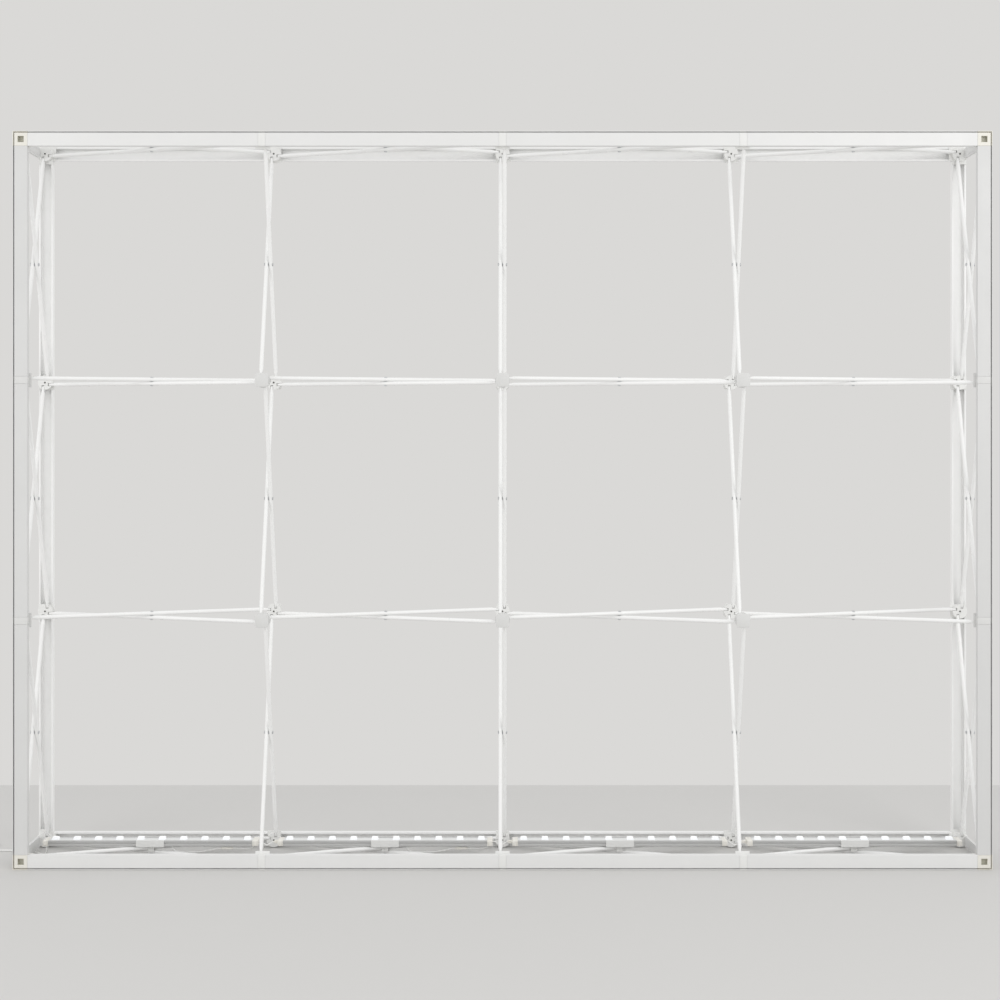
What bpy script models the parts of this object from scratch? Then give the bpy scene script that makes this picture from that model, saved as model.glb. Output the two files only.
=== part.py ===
"""Pop-up display wall: a folding scissor frame, four bays wide and three high.

Forty hubs stand in two grids, one behind the other. Crossing tubes join every
hub to its neighbours in the other grid, channel bars clip round both faces,
and four light bars stand on the bottom row of scissors.
Metres, +Z up, +Y away from the viewer, origin on the floor at the middle.
"""

import math

import bmesh
import bpy
from mathutils import Matrix, Vector

X = Vector((1.0, 0.0, 0.0))
Y = Vector((0.0, 1.0, 0.0))
Z = Vector((0.0, 0.0, 1.0))

# Frame
BAYS_WIDE = 4
BAYS_HIGH = 3
BAY_LENGTH = 0.738
FRAME_DEPTH = 0.300
EDGE_OUT = 0.025
EDGE_IN = 0.0205
GAP = 0.0003
OVERRUN = 0.002
FLAT_ANGLE = math.radians(0.5)

# Channel bar section
BAR_DEPTH = 0.020
BAR_WALL = 0.002
GROOVE_WIDTH = 0.0035
GROOVE_DEPTH = 0.012
BAR_LIP = 0.006
BAR_END_HALF = 0.011

# Hub
DISC_RADIUS = 0.023
DISC_SIDES = 10
NECK_SIDES = 8
DISC_END = 0.0385
SLOT_FLOOR = 0.024
SLOT_WIDTH = 0.0086
SLOT_INNER = 0.009
NECK_RADIUS = 0.016
WING_THICK = 0.003
WING_REACH = 0.011
EDGE_RISE = 0.007
PLATE_HALF = 0.0208
PLATE_CHAMFER = 0.005
PLATE_THICK = 0.004
SOCKET_SIZE = 0.0185
SOCKET_DEPTH = 0.012

# Scissor tubes
TUBE_RADIUS = 0.00635
TUBE_SIDES = 6
TUBE_OFFSET = 0.0065
TONGUE_THICK = 0.008
TONGUE_BACK = 0.0055
TONGUE_ROOT = 0.0095
TONGUE_FRONT = 0.011
TONGUE_TAPER = 0.007
TONGUE_END_SHARE = 0.6
PIVOT_REACH = 0.016
PIVOT_DEPTH = 0.0315
RIVET_RADIUS = 0.0024
RIVET_SIDES = 4
ROUND_SIDES = 8
PIN_SIDES = 20

# Corner struts
STRUT_HEIGHT = 0.033
STRUT_CLEAR = 0.0065
STRUT_SIDE_CLEAR = 0.0009
STRUT_EAR = 0.0025
STRUT_EAR_HALF = 0.009
STRUT_CHEEK = 0.014
STRUT_PIN_RADIUS = 0.003
STRUT_PIN_SHORT = 0.0005
STRUT_END_STEPS = 4

# Light bars
LIGHT_END_GAP = 0.031
LIGHT_WIDTH = 0.050
LIGHT_HEIGHT = 0.017
LIGHT_TOP_STEP = 0.0015
LIGHT_TRAY_WIDTH = 0.034
LIGHT_SIDE_GROOVE = 0.003
LIGHT_GROOVE_SHARES = (0.35, 0.5, 0.65)
LIGHT_CAP_LENGTH = 0.017
LIGHT_CAP_CHAMFER = 0.002
LIGHT_STRIP_THICK = 0.0012
LIGHT_STRIP_CLEAR = 0.0006
LENS_COUNT = 10
LENS_END = 0.0183
LENS_SIZE = 0.022
LENS_TOP_SIZE = 0.017
LENS_HEIGHT = 0.008
CLIP_LENGTH = 0.088
CLIP_WALL = 0.002
CLIP_LIP = 0.003
CLIP_LIP_THICK = 0.001
CLIP_LEG_LENGTH = 0.020
CLIP_LEG_SPAN = 0.0115
CLIP_LEG_DROP = 0.018

# Leads between the light bars
LEAD_DIAMETER = 0.004
LEAD_PLUG_LENGTH = 0.012
LEAD_PLUG_HALF = 0.0045
LEAD_SAG = 0.011
LEAD_DROP = 0.020
LEAD_FORWARD = 0.015
LEAD_CONNECTOR_RADIUS = 0.0045
LEAD_RESOLUTION = 1
LEAD_POINT_STEP = 0.016
INLINE_LEADS = 2
LINK_SAG_SHARES = ((0.0, 0.0), (0.12, 0.0), (0.3, 0.55), (0.5, 1.0), (0.7, 0.55), (0.88, 0.0), (1.0, 0.0))
NEAR_LEAD_SHARES = ((0.20, 0.0), (0.20, 0.12), (0.206, 0.5), (0.24, 0.88), (0.31, 1.0), (0.42, 0.98),
                    (0.52, 0.80), (0.60, 0.48), (0.635, 0.40), (0.65, 0.40))
FAR_LEAD_SHARES = ((0.77, 0.40), (0.785, 0.40), (0.85, 0.44), (0.91, 0.38), (0.945, 0.22), (0.955, 0.08),
                   (0.955, 0.0))

# Mains cord
CORD_DIAMETER = 0.005
CORD_LENGTH = 1.5
CORD_BOOT_LENGTH = 0.014
CORD_BOOT_RADIUS = 0.0055
CORD_BOOT_END_RADIUS = 0.0035
CORD_POINT_STEP = 0.012
CORD_RESOLUTION = 2
COIL_RESOLUTION = 1
COIL_TAIL = 0.016
COIL_TURN_GAP = 0.0056
COIL_TURNS = 6
COIL_LOOP_POINTS = 24
COIL_LAYERS = 2
COIL_LEAST_GAP = 0.0004
MAINS_PLUG_LENGTH = 0.036
MAINS_PLUG_WIDTH = 0.026
MAINS_PLUG_THICK = 0.016
MAINS_PLUG_NOSE = 0.012
MAINS_PIN_RADIUS = 0.002
MAINS_PIN_LENGTH = 0.019
MAINS_PIN_SPACING = 0.0185
RELIEF_LENGTH = 0.022
RELIEF_RADIUS = 0.0045

CORD_ROUTE = (
    (-1.4370, 0.0000, 0.0258),
    (-1.4373, 0.0004, 0.0210),
    (-1.4400, 0.0030, 0.0130),
    (-1.4460, 0.0090, 0.0065),
    (-1.4560, 0.0190, 0.0033),
    (-1.4720, 0.0350, 0.0028),
    (-1.4900, 0.0510, 0.0028),
    (-1.5120, 0.0630, 0.0028),
    (-1.5400, 0.0690, 0.0028),
    (-1.5800, 0.0700, 0.0028),
    (-1.6200, 0.0710, 0.0028),
    (-1.6500, 0.0740, 0.0028),
    (-1.6760, 0.0780, 0.0028),
)


def clear_scene():
    """Remove what the file starts with."""
    for item in list(bpy.data.objects):
        bpy.data.objects.remove(item, do_unlink=True)
    for mesh in list(bpy.data.meshes):
        bpy.data.meshes.remove(mesh)


def finish(name, colour, roughness, metallic=0.0):
    """Make a Principled material from an sRGB-like linear colour."""
    material = bpy.data.materials.new(name)
    material.use_nodes = True
    shader = material.node_tree.nodes["Principled BSDF"]
    shader.inputs["Base Color"].default_value = (*colour, 1.0)
    shader.inputs["Roughness"].default_value = roughness
    shader.inputs["Metallic"].default_value = metallic
    return material


def moved(shape, matrix):
    """A copy of a shape, carried to its place."""
    copy = shape.copy()
    copy.transform(matrix)
    return copy


def place_mesh(name, shape, matrix, material):
    """Put one closed shape into the scene as a named object."""
    mesh = bpy.data.meshes.new(name)
    part = moved(shape, matrix)
    part.to_mesh(mesh)
    part.free()
    mesh.materials.append(material)
    obj = bpy.data.objects.new(name, mesh)
    bpy.context.scene.collection.objects.link(obj)


def prism(outline, low, high, axes):
    """Extrude a closed outline of (a, b) points from low to high.

    axes is three vectors: the outline's two directions and the extrusion's.
    """
    shape = bmesh.new()
    across, up, along = axes
    rings = []
    for place in (low, high):
        ring = [shape.verts.new(across * a + up * b + along * place) for a, b in outline]
        rings.append(ring)
    count = len(outline)
    for index in range(count):
        after = (index + 1) % count
        shape.faces.new((rings[0][index], rings[0][after], rings[1][after], rings[1][index]))
    shape.faces.new(rings[0][::-1])
    shape.faces.new(rings[1])
    bmesh.ops.recalc_face_normals(shape, faces=shape.faces)
    return shape


def block(low, high):
    """A box between two corners."""
    outline = ((low[0], low[1]), (high[0], low[1]), (high[0], high[1]), (low[0], high[1]))
    return prism(outline, low[2], high[2], (X, Y, Z))


def round_outline(radius, sides, turn=0.5):
    """Points of a regular polygon whose corners lie on a circle."""
    angles = [2 * math.pi * (index + turn) / sides for index in range(sides)]
    return [(radius * math.cos(angle), radius * math.sin(angle)) for angle in angles]


def combine(base, others, operation):
    """Boolean one bmesh with several others at once, and give back a new bmesh."""
    mesh = bpy.data.meshes.new("base")
    base.to_mesh(mesh)
    body = bpy.data.objects.new("base", mesh)
    bpy.context.scene.collection.objects.link(body)
    tools = bpy.data.collections.new("tools")
    for other in others:
        cut_mesh = bpy.data.meshes.new("cut")
        other.to_mesh(cut_mesh)
        helper = bpy.data.objects.new("cut", cut_mesh)
        helper.hide_render = True
        helper.display_type = "WIRE"
        tools.objects.link(helper)
    bpy.context.scene.collection.children.link(tools)
    modifier = body.modifiers.new("shape", "BOOLEAN")
    modifier.solver = "EXACT"
    modifier.operation = operation
    modifier.operand_type = "COLLECTION"
    modifier.collection = tools
    graph = bpy.context.evaluated_depsgraph_get()
    result = bpy.data.meshes.new_from_object(body.evaluated_get(graph))
    shape = bmesh.new()
    shape.from_mesh(result)
    bmesh.ops.dissolve_limit(shape, angle_limit=FLAT_ANGLE, verts=shape.verts, edges=shape.edges)
    bpy.data.meshes.remove(result)
    for item in [body, *tools.objects]:
        spent = item.data
        bpy.data.objects.remove(item, do_unlink=True)
        bpy.data.meshes.remove(spent)
    bpy.data.collections.remove(tools)
    return shape


def tube_curve(name, points, diameter, resolution):
    """A round tube with filled ends along a list of points, as a curve object."""
    data = bpy.data.curves.new(name, "CURVE")
    data.dimensions = "3D"
    data.bevel_depth = diameter / 2
    data.bevel_resolution = resolution
    data.use_fill_caps = True
    data.twist_mode = "MINIMUM"
    spline = data.splines.new("POLY")
    spline.points.add(len(points) - 1)
    for spot, point in zip(spline.points, points):
        spot.co = (*point, 1.0)
    obj = bpy.data.objects.new(name, data)
    bpy.context.scene.collection.objects.link(obj)
    return obj


def tube_shape(points, diameter, resolution):
    """The same tube as a bmesh, to join with others in one node."""
    obj = tube_curve("scratch_tube", points, diameter, resolution)
    graph = bpy.context.evaluated_depsgraph_get()
    mesh = bpy.data.meshes.new_from_object(obj.evaluated_get(graph))
    shape = bmesh.new()
    shape.from_mesh(mesh)
    bpy.data.meshes.remove(mesh)
    data = obj.data
    bpy.data.objects.remove(obj, do_unlink=True)
    bpy.data.curves.remove(data)
    return shape


def hub_x(column):
    return (column - BAYS_WIDE / 2) * BAY_LENGTH


def hub_z(row):
    return EDGE_OUT + row * BAY_LENGTH


def frame_height():
    return hub_z(BAYS_HIGH) + EDGE_OUT


def hub_place(column, row, at_front):
    """Where a hub stands. A back hub is a front hub turned half round."""
    side = -1 if at_front else 1
    turn = Matrix.Identity(4) if at_front else Matrix.Rotation(math.pi, 4, "Z")
    return Matrix.Translation((hub_x(column), side * FRAME_DEPTH / 2, hub_z(row))) @ turn


def hub_neighbours(column, row, at_front):
    """Which ways tubes leave a hub, in the hub's own right, left, up, down."""
    has_low_x = column > 0
    has_high_x = column < BAYS_WIDE
    right, left = (has_high_x, has_low_x) if at_front else (has_low_x, has_high_x)
    return right, left, row < BAYS_HIGH, row > 0


def hub_slots(right, left, up, down):
    """The four slots that take the tongues, set round the hub like a pinwheel."""
    half = SLOT_WIDTH / 2
    far = DISC_RADIUS + OVERRUN
    deep = DISC_END + OVERRUN
    high = TUBE_OFFSET + half
    low = TUBE_OFFSET - half
    slots = []
    if right:
        slots.append(block((SLOT_INNER, SLOT_FLOOR, low), (far, deep, high)))
    if left:
        slots.append(block((-far, SLOT_FLOOR, -high), (-SLOT_INNER, deep, -low)))
    if up:
        slots.append(block((-high, SLOT_FLOOR, SLOT_INNER), (-low, deep, far)))
    if down:
        slots.append(block((low, SLOT_FLOOR, -far), (high, deep, -SLOT_INNER)))
    return slots


def disc(radius, low, high, sides=DISC_SIDES):
    """A round drum about the hub's own axis."""
    return prism(round_outline(radius, sides), low, high, (X, Z, Y))


def chamfered_square(half, chamfer):
    near = half - chamfer
    return [(half, near), (near, half), (-near, half), (-half, near),
            (-half, -near), (-near, -half), (near, -half), (half, -near)]


def span(has_low, has_high):
    """Low and high limits of an edge hub's face block along one direction.

    A side that goes on to a neighbour stops at the end of its bar, and the
    frame's own outer side stops at EDGE_OUT.
    """
    inner = BAR_END_HALF if has_low and has_high else EDGE_IN
    return (-inner if has_low else -EDGE_OUT), (inner if has_high else EDGE_OUT)


def hub_shape(right, left, up, down, at_front):
    """One hub in its own frame: X right, Y away from its face, Z up."""
    drum_start = BAR_DEPTH + GAP
    drum = disc(DISC_RADIUS, drum_start, DISC_END)
    is_corner = not (right and left) and not (up and down)
    is_inner = right and left and up and down
    joins = []
    cuts = hub_slots(right, left, up, down)
    if is_inner:
        joins.append(disc(NECK_RADIUS, PLATE_THICK / 2, drum_start + WING_THICK, NECK_SIDES))
        joins.append(prism(chamfered_square(PLATE_HALF, PLATE_CHAMFER), 0.0, PLATE_THICK, (X, Z, Y)))
    else:
        along_x = span(left, right)
        along_z = span(down, up)
        if not is_corner and left and right:
            along_z = (-EDGE_OUT, EDGE_IN) if up else (-EDGE_IN, EDGE_OUT)
        if not is_corner and up and down:
            along_x = (-EDGE_OUT, EDGE_IN) if right else (-EDGE_IN, EDGE_OUT)
        joins.append(block((along_x[0], 0.0, along_z[0]), (along_x[1], drum_start + WING_THICK, along_z[1])))
        joins.extend(hub_wings(right, left, up, down, along_x, along_z))
        cuts.extend(hub_grooves(right, left, up, down))
    if is_corner:
        joins.extend(strut_ears(right, up))
        half = SOCKET_SIZE / 2
        cuts.append(block((-half, -OVERRUN, -half), (half, SOCKET_DEPTH, half)))
        if not at_front:
            cuts.append(ear_hole(right, up))
    body = combine(drum, joins, "UNION")
    return combine(body, cuts, "DIFFERENCE")


def hub_wings(right, left, up, down, along_x, along_z):
    """Ledges behind the ends of the channel bars that meet at this hub."""
    start = BAR_DEPTH + GAP
    end = start + WING_THICK
    out_x = (along_x[0] - WING_REACH * left, along_x[1] + WING_REACH * right)
    out_z = (along_z[0] - WING_REACH * down, along_z[1] + WING_REACH * up)
    corner = not (right and left) and not (up and down)
    if corner:
        return [block((out_x[0], start, along_z[0]), (out_x[1], end, along_z[1])),
                block((along_x[0], start, out_z[0]), (along_x[1], end, out_z[1]))]
    if right and left:
        rise = (along_z[0] - EDGE_RISE * down, along_z[1] + EDGE_RISE * up)
        return [block((out_x[0], start, rise[0]), (out_x[1], end, rise[1]))]
    rise = (along_x[0] - EDGE_RISE * left, along_x[1] + EDGE_RISE * right)
    return [block((rise[0], start, out_z[0]), (rise[1], end, out_z[1]))]


def hub_grooves(right, left, up, down):
    """The fabric groove, carried on from the bars across the hub's face."""
    outer = EDGE_OUT - BAR_WALL
    inner = outer - GROOVE_WIDTH
    far = EDGE_OUT + OVERRUN
    ends_x = (-outer if not left else -far, outer if not right else far)
    ends_z = (-outer if not down else -far, outer if not up else far)
    grooves = []
    if not down:
        grooves.append(block((ends_x[0], -OVERRUN, -outer), (ends_x[1], GROOVE_DEPTH, -inner)))
    if not up:
        grooves.append(block((ends_x[0], -OVERRUN, inner), (ends_x[1], GROOVE_DEPTH, outer)))
    if not left:
        grooves.append(block((-outer, -OVERRUN, ends_z[0]), (-inner, GROOVE_DEPTH, ends_z[1])))
    if not right:
        grooves.append(block((inner, -OVERRUN, ends_z[0]), (outer, GROOVE_DEPTH, ends_z[1])))
    return grooves


def strut_height():
    """Height of the strut's middle line above a lower corner hub's own middle."""
    return STRUT_CLEAR + STRUT_HEIGHT / 2 - EDGE_OUT


def strut_pin_depth():
    return DISC_END + GAP + STRUT_HEIGHT / 2


def strut_limits():
    """Distances of the strut's inner and outer faces from the hub's middle."""
    inner = TUBE_OFFSET + TUBE_RADIUS + STRUT_SIDE_CLEAR
    return inner, EDGE_OUT - STRUT_EAR - GAP


def strut_ears(opens_right, opens_up):
    """A corner hub's cheek and the ear beside which the strut's end lies."""
    side = -1 if opens_right else 1
    level = strut_height() if opens_up else -strut_height()
    outer = side * EDGE_OUT
    cheek_x = sorted((outer, side * (EDGE_OUT - STRUT_CHEEK)))
    ear_x = sorted((outer, side * (EDGE_OUT - STRUT_EAR)))
    half = STRUT_HEIGHT / 2
    cheek = block((cheek_x[0], BAR_DEPTH + GAP, level - half), (cheek_x[1], DISC_END, level + half))
    outline = [(DISC_END - OVERRUN, level - half), (DISC_END + GAP, level - half)]
    for step in range(STRUT_END_STEPS + 1):
        angle = math.pi * (step / STRUT_END_STEPS - 1 / 2)
        outline.append((strut_pin_depth() + STRUT_EAR_HALF * math.cos(angle),
                        level + STRUT_EAR_HALF * math.sin(angle)))
    outline.extend([(DISC_END + GAP, level + half), (DISC_END - OVERRUN, level + half)])
    ear = prism(outline, ear_x[0], ear_x[1], (Y, Z, X))
    return [cheek, ear]


def ear_hole(opens_right, opens_up):
    """The hole in a back hub's ear for the strut's pin."""
    side = -1 if opens_right else 1
    level = strut_height() if opens_up else -strut_height()
    low, high = sorted((side * (EDGE_OUT + OVERRUN), side * (EDGE_OUT - STRUT_EAR - OVERRUN)))
    hole = prism(round_outline(STRUT_PIN_RADIUS + GAP, PIN_SIDES), low, high, (Y, Z, X))
    hole.transform(Matrix.Translation((0.0, strut_pin_depth(), level)))
    return hole


def scissor_tube(start, end, pin_axis, end_is_free=False):
    """A round tube whose pressed flat ends lie between the hub's slot walls.

    start and end are the two pivots, and pin_axis is the direction of the pins.
    A fixed end runs on into the hub's core, and a free one stops clear of it.
    """
    length = (end - start).length
    along = (end - start).normalized()
    wide = along.cross(pin_axis)
    corners = round_outline(TUBE_RADIUS, TUBE_SIDES, 0)
    half_thick = max(b for a, b in corners)
    flat_share = TONGUE_THICK / (2 * half_thick)
    end_back = TONGUE_BACK if end_is_free else TONGUE_ROOT
    stations = (
        (-TONGUE_ROOT, TONGUE_END_SHARE, flat_share),
        (TONGUE_FRONT, 1.0, flat_share),
        (TONGUE_FRONT + TONGUE_TAPER, 1.0, 1.0),
        (length - TONGUE_FRONT - TONGUE_TAPER, 1.0, 1.0),
        (length - TONGUE_FRONT, 1.0, flat_share),
        (length + end_back, TONGUE_END_SHARE, flat_share),
    )
    shape = bmesh.new()
    rings = []
    for place, width, thick in stations:
        middle = start + along * place
        ring = [middle + wide * (a * width) + pin_axis * (b * thick) for a, b in corners]
        rings.append([shape.verts.new(point) for point in ring])
    for near, far in zip(rings, rings[1:]):
        for index in range(TUBE_SIDES):
            after = (index + 1) % TUBE_SIDES
            shape.faces.new((near[index], near[after], far[after], far[index]))
    shape.faces.new(rings[0][::-1])
    shape.faces.new(rings[-1])
    bmesh.ops.recalc_face_normals(shape, faces=shape.faces)
    return shape


def pivot_y(at_front):
    depth = FRAME_DEPTH / 2 - PIVOT_DEPTH
    return -depth if at_front else depth


def row_tubes(row):
    """Two crossing tubes in each bay of a row, lying flat."""
    tubes = []
    for column in range(BAYS_WIDE):
        low_x = hub_x(column) + PIVOT_REACH
        high_x = hub_x(column + 1) - PIVOT_REACH
        for from_front in (True, False):
            level = hub_z(row) + (TUBE_OFFSET if from_front else -TUBE_OFFSET)
            start = Vector((low_x, pivot_y(from_front), level))
            end = Vector((high_x, pivot_y(not from_front), level))
            tubes.append(scissor_tube(start, end, Z))
    return tubes


def column_tubes(row):
    """Two crossing tubes that rise from each pair of hubs in a row."""
    tubes = []
    if row == BAYS_HIGH:
        return tubes
    low_z = hub_z(row) + PIVOT_REACH
    high_z = hub_z(row + 1) - PIVOT_REACH
    for column in range(BAYS_WIDE + 1):
        for from_front in (True, False):
            side = hub_x(column) + (-TUBE_OFFSET if from_front else TUBE_OFFSET)
            start = Vector((side, pivot_y(from_front), low_z))
            end = Vector((side, pivot_y(not from_front), high_z))
            tubes.append(scissor_tube(start, end, X, end_is_free=True))
    return tubes


def rivets(row):
    """The rivets on which each pair of tubes crosses."""
    outline = round_outline(RIVET_RADIUS, RIVET_SIDES)
    head = TUBE_OFFSET + TUBE_RADIUS
    flat = prism(outline, -head, head, (X, Y, Z))
    places = [(hub_x(column) + BAY_LENGTH / 2, 0.0, hub_z(row)) for column in range(BAYS_WIDE)]
    pieces = [moved(flat, Matrix.Translation(place)) for place in places]
    if row < BAYS_HIGH:
        upright = prism(outline, -TUBE_OFFSET, TUBE_OFFSET, (Y, Z, X))
        places = [(hub_x(column), 0.0, hub_z(row) + BAY_LENGTH / 2) for column in range(BAYS_WIDE + 1)]
        pieces.extend(moved(upright, Matrix.Translation(place)) for place in places)
    return pieces


def build_rows(material):
    """Each row's hubs, its own scissors and the scissors that rise from it."""
    shapes = {}
    for row in range(BAYS_HIGH + 1):
        pieces = []
        for at_front in (True, False):
            for column in range(BAYS_WIDE + 1):
                kind = (*hub_neighbours(column, row, at_front), at_front)
                if kind not in shapes:
                    shapes[kind] = hub_shape(*kind)
                pieces.append(moved(shapes[kind], hub_place(column, row, at_front)))
        pieces.extend(row_tubes(row))
        pieces.extend(column_tubes(row))
        pieces.extend(rivets(row))
        body = combine(pieces[0], pieces[1:], "UNION")
        place_mesh(f"scissor_row_{row + 1}", body, Matrix.Identity(4), material)


def bar_section():
    """Half-open channel: face, fabric groove at the outer edge, and two flanges.

    The first direction runs in from the frame's outer edge, the second back
    from the face.
    """
    wide = EDGE_OUT + EDGE_IN
    groove_far = BAR_WALL + GROOVE_WIDTH
    floor = GROOVE_DEPTH + BAR_WALL
    return (
        (0.0, 0.0), (BAR_WALL, 0.0), (BAR_WALL, GROOVE_DEPTH), (groove_far, GROOVE_DEPTH),
        (groove_far, 0.0), (wide, 0.0), (wide, BAR_DEPTH), (wide - BAR_LIP, BAR_DEPTH),
        (wide - BAR_LIP, BAR_DEPTH - BAR_WALL), (wide - BAR_WALL, BAR_DEPTH - BAR_WALL),
        (wide - BAR_WALL, BAR_WALL), (groove_far + BAR_WALL, BAR_WALL), (groove_far + BAR_WALL, floor),
        (BAR_WALL, floor), (BAR_WALL, BAR_DEPTH - BAR_WALL), (BAR_LIP, BAR_DEPTH - BAR_WALL),
        (BAR_LIP, BAR_DEPTH), (0.0, BAR_DEPTH),
    )


def bar_ends(index, count, place):
    """Where a bar starts and stops between two neighbouring hubs."""
    low = EDGE_IN if index == 0 else BAR_END_HALF
    high = EDGE_IN if index + 1 == count else BAR_END_HALF
    return place(index) + low + GAP, place(index + 1) - high - GAP


def build_bars(material):
    """Channel bars round the edge of the front and of the back grid."""
    section = bar_section()
    half_wide = BAYS_WIDE * BAY_LENGTH / 2 + EDGE_OUT
    for face, side in (("front", -1), ("back", 1)):
        back = Y * -side
        origin = Y * (side * FRAME_DEPTH / 2)
        for index in range(BAYS_WIDE):
            low, high = bar_ends(index, BAYS_WIDE, hub_x)
            for level, base, inward in (("bottom", 0.0, Z), ("top", frame_height(), -Z)):
                shape = prism(section, low, high, (inward, back, X))
                move = Matrix.Translation(origin + Z * base)
                place_mesh(f"{face}_{level}_bar_{index + 1}", shape, move, material)
        for index in range(BAYS_HIGH):
            low, high = bar_ends(index, BAYS_HIGH, hub_z)
            for flank, base, inward in (("left", -half_wide, X), ("right", half_wide, -X)):
                shape = prism(section, low, high, (inward, back, Z))
                move = Matrix.Translation(origin + X * base)
                place_mesh(f"{face}_{flank}_bar_{index + 1}", shape, move, material)


def strut_shape(side):
    """A flat plate with round ends and, at its back end, the pin it swings on."""
    inner, outer = strut_limits()
    low, high = sorted((side * inner, side * outer))
    radius = STRUT_HEIGHT / 2
    middle = FRAME_DEPTH / 2 - strut_pin_depth()
    outline = []
    for end in (1, -1):
        for step in range(STRUT_END_STEPS + 1):
            angle = math.pi * (step / STRUT_END_STEPS - 1 / 2)
            outline.append((end * (middle + radius * math.cos(angle)), end * radius * math.sin(angle)))
    body = prism(outline, low, high, (Y, Z, X))
    pin_x = sorted((side * (outer - OVERRUN), side * (EDGE_OUT - STRUT_PIN_SHORT)))
    pin = prism(round_outline(STRUT_PIN_RADIUS, PIN_SIDES), pin_x[0], pin_x[1], (Y, Z, X))
    pin.transform(Matrix.Translation(Y * middle))
    return combine(body, [pin], "UNION")


def build_struts(material):
    """Four depth struts that lock the front and back corners together."""
    for flank, side in (("left", -1), ("right", 1)):
        shape = strut_shape(side)
        across = side * BAYS_WIDE * BAY_LENGTH / 2
        levels = (("lower", hub_z(0) + strut_height()), ("upper", hub_z(BAYS_HIGH) - strut_height()))
        for level, height in levels:
            place = Matrix.Translation((across, 0.0, height))
            place_mesh(f"{level}_{flank}_strut", shape, place, material)


def light_base():
    """Height of the underside of the light bars, above the scissor crossings."""
    return hub_z(0) + TUBE_OFFSET + TUBE_RADIUS + GAP + CLIP_WALL + GAP


def light_span(bay):
    return hub_x(bay) + LIGHT_END_GAP, hub_x(bay + 1) - LIGHT_END_GAP


def light_section():
    """The light bar's extrusion: a wide tray with a groove down each side."""
    half = LIGHT_WIDTH / 2
    tray = LIGHT_TRAY_WIDTH / 2
    low, middle, high = [share * LIGHT_HEIGHT for share in LIGHT_GROOVE_SHARES]
    top = LIGHT_HEIGHT
    floor = top - LIGHT_TOP_STEP
    right = [(half, 0.0), (half, low), (half - LIGHT_SIDE_GROOVE, middle), (half, high), (half, top),
             (tray, top), (tray, floor)]
    left = [(-a, b) for a, b in reversed(right)]
    return right + left


def clip_section():
    """A cradle that holds the light bar by its sides, with lips over its edges."""
    inner = LIGHT_WIDTH / 2 + GAP
    outer = inner + CLIP_WALL
    floor = -GAP
    base = floor - CLIP_WALL
    lip = LIGHT_HEIGHT + GAP
    top = lip + CLIP_LIP_THICK
    right = [(outer, base), (outer, top), (inner - CLIP_LIP, top), (inner - CLIP_LIP, lip), (inner, lip),
             (inner, floor)]
    left = [(-a, b) for a, b in reversed(right)]
    return right + left


def clip_shape():
    """The cradle and the two legs that straddle a scissor crossing."""
    half = CLIP_LENGTH / 2
    leg = CLIP_LEG_LENGTH / 2
    base = -GAP - CLIP_WALL
    cradle = prism(clip_section(), -half, half, (Y, Z, X))
    legs = []
    for side in (-1, 1):
        near, far = sorted((side * CLIP_LEG_SPAN, side * (CLIP_LEG_SPAN + CLIP_WALL)))
        legs.append(block((-leg, near, base - CLIP_LEG_DROP), (leg, far, base + CLIP_WALL / 2)))
    return combine(cradle, legs, "UNION")


def lens_shape():
    """A square lens that narrows to its top, standing on the tray's floor."""
    shape = bmesh.new()
    rings = []
    levels = ((LENS_SIZE / 2, 0.0), (LENS_TOP_SIZE / 2, LENS_HEIGHT))
    for half, level in levels:
        corners = ((-half, -half), (half, -half), (half, half), (-half, half))
        rings.append([shape.verts.new((a, b, level)) for a, b in corners])
    count = len(rings[0])
    for near, far in zip(rings, rings[1:]):
        for index in range(count):
            after = (index + 1) % count
            shape.faces.new((near[index], near[after], far[after], far[index]))
    shape.faces.new(rings[0][::-1])
    shape.faces.new(rings[-1])
    return shape


def cap_outline():
    """The end cap's outline: the light bar's own, with its corners taken off."""
    half = LIGHT_WIDTH / 2
    top = LIGHT_HEIGHT
    cut = LIGHT_CAP_CHAMFER
    return [(half - cut, 0.0), (half, cut), (half, top - cut), (half - cut, top),
            (cut - half, top), (-half, top - cut), (-half, cut), (cut - half, 0.0)]


def strip_shape(low, high):
    """A circuit strip along the tray with its row of lenses."""
    half = (LIGHT_TRAY_WIDTH - LIGHT_STRIP_CLEAR) / 2
    strip = block((low, -half, 0.0), (high, half, LIGHT_STRIP_THICK))
    lens = lens_shape()
    first = low + LENS_END
    spacing = (high - LENS_END - first) / (LENS_COUNT - 1)
    places = [first + index * spacing for index in range(LENS_COUNT)]
    lenses = [moved(lens, Matrix.Translation(X * place)) for place in places]
    return combine(strip, lenses, "UNION")


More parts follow.
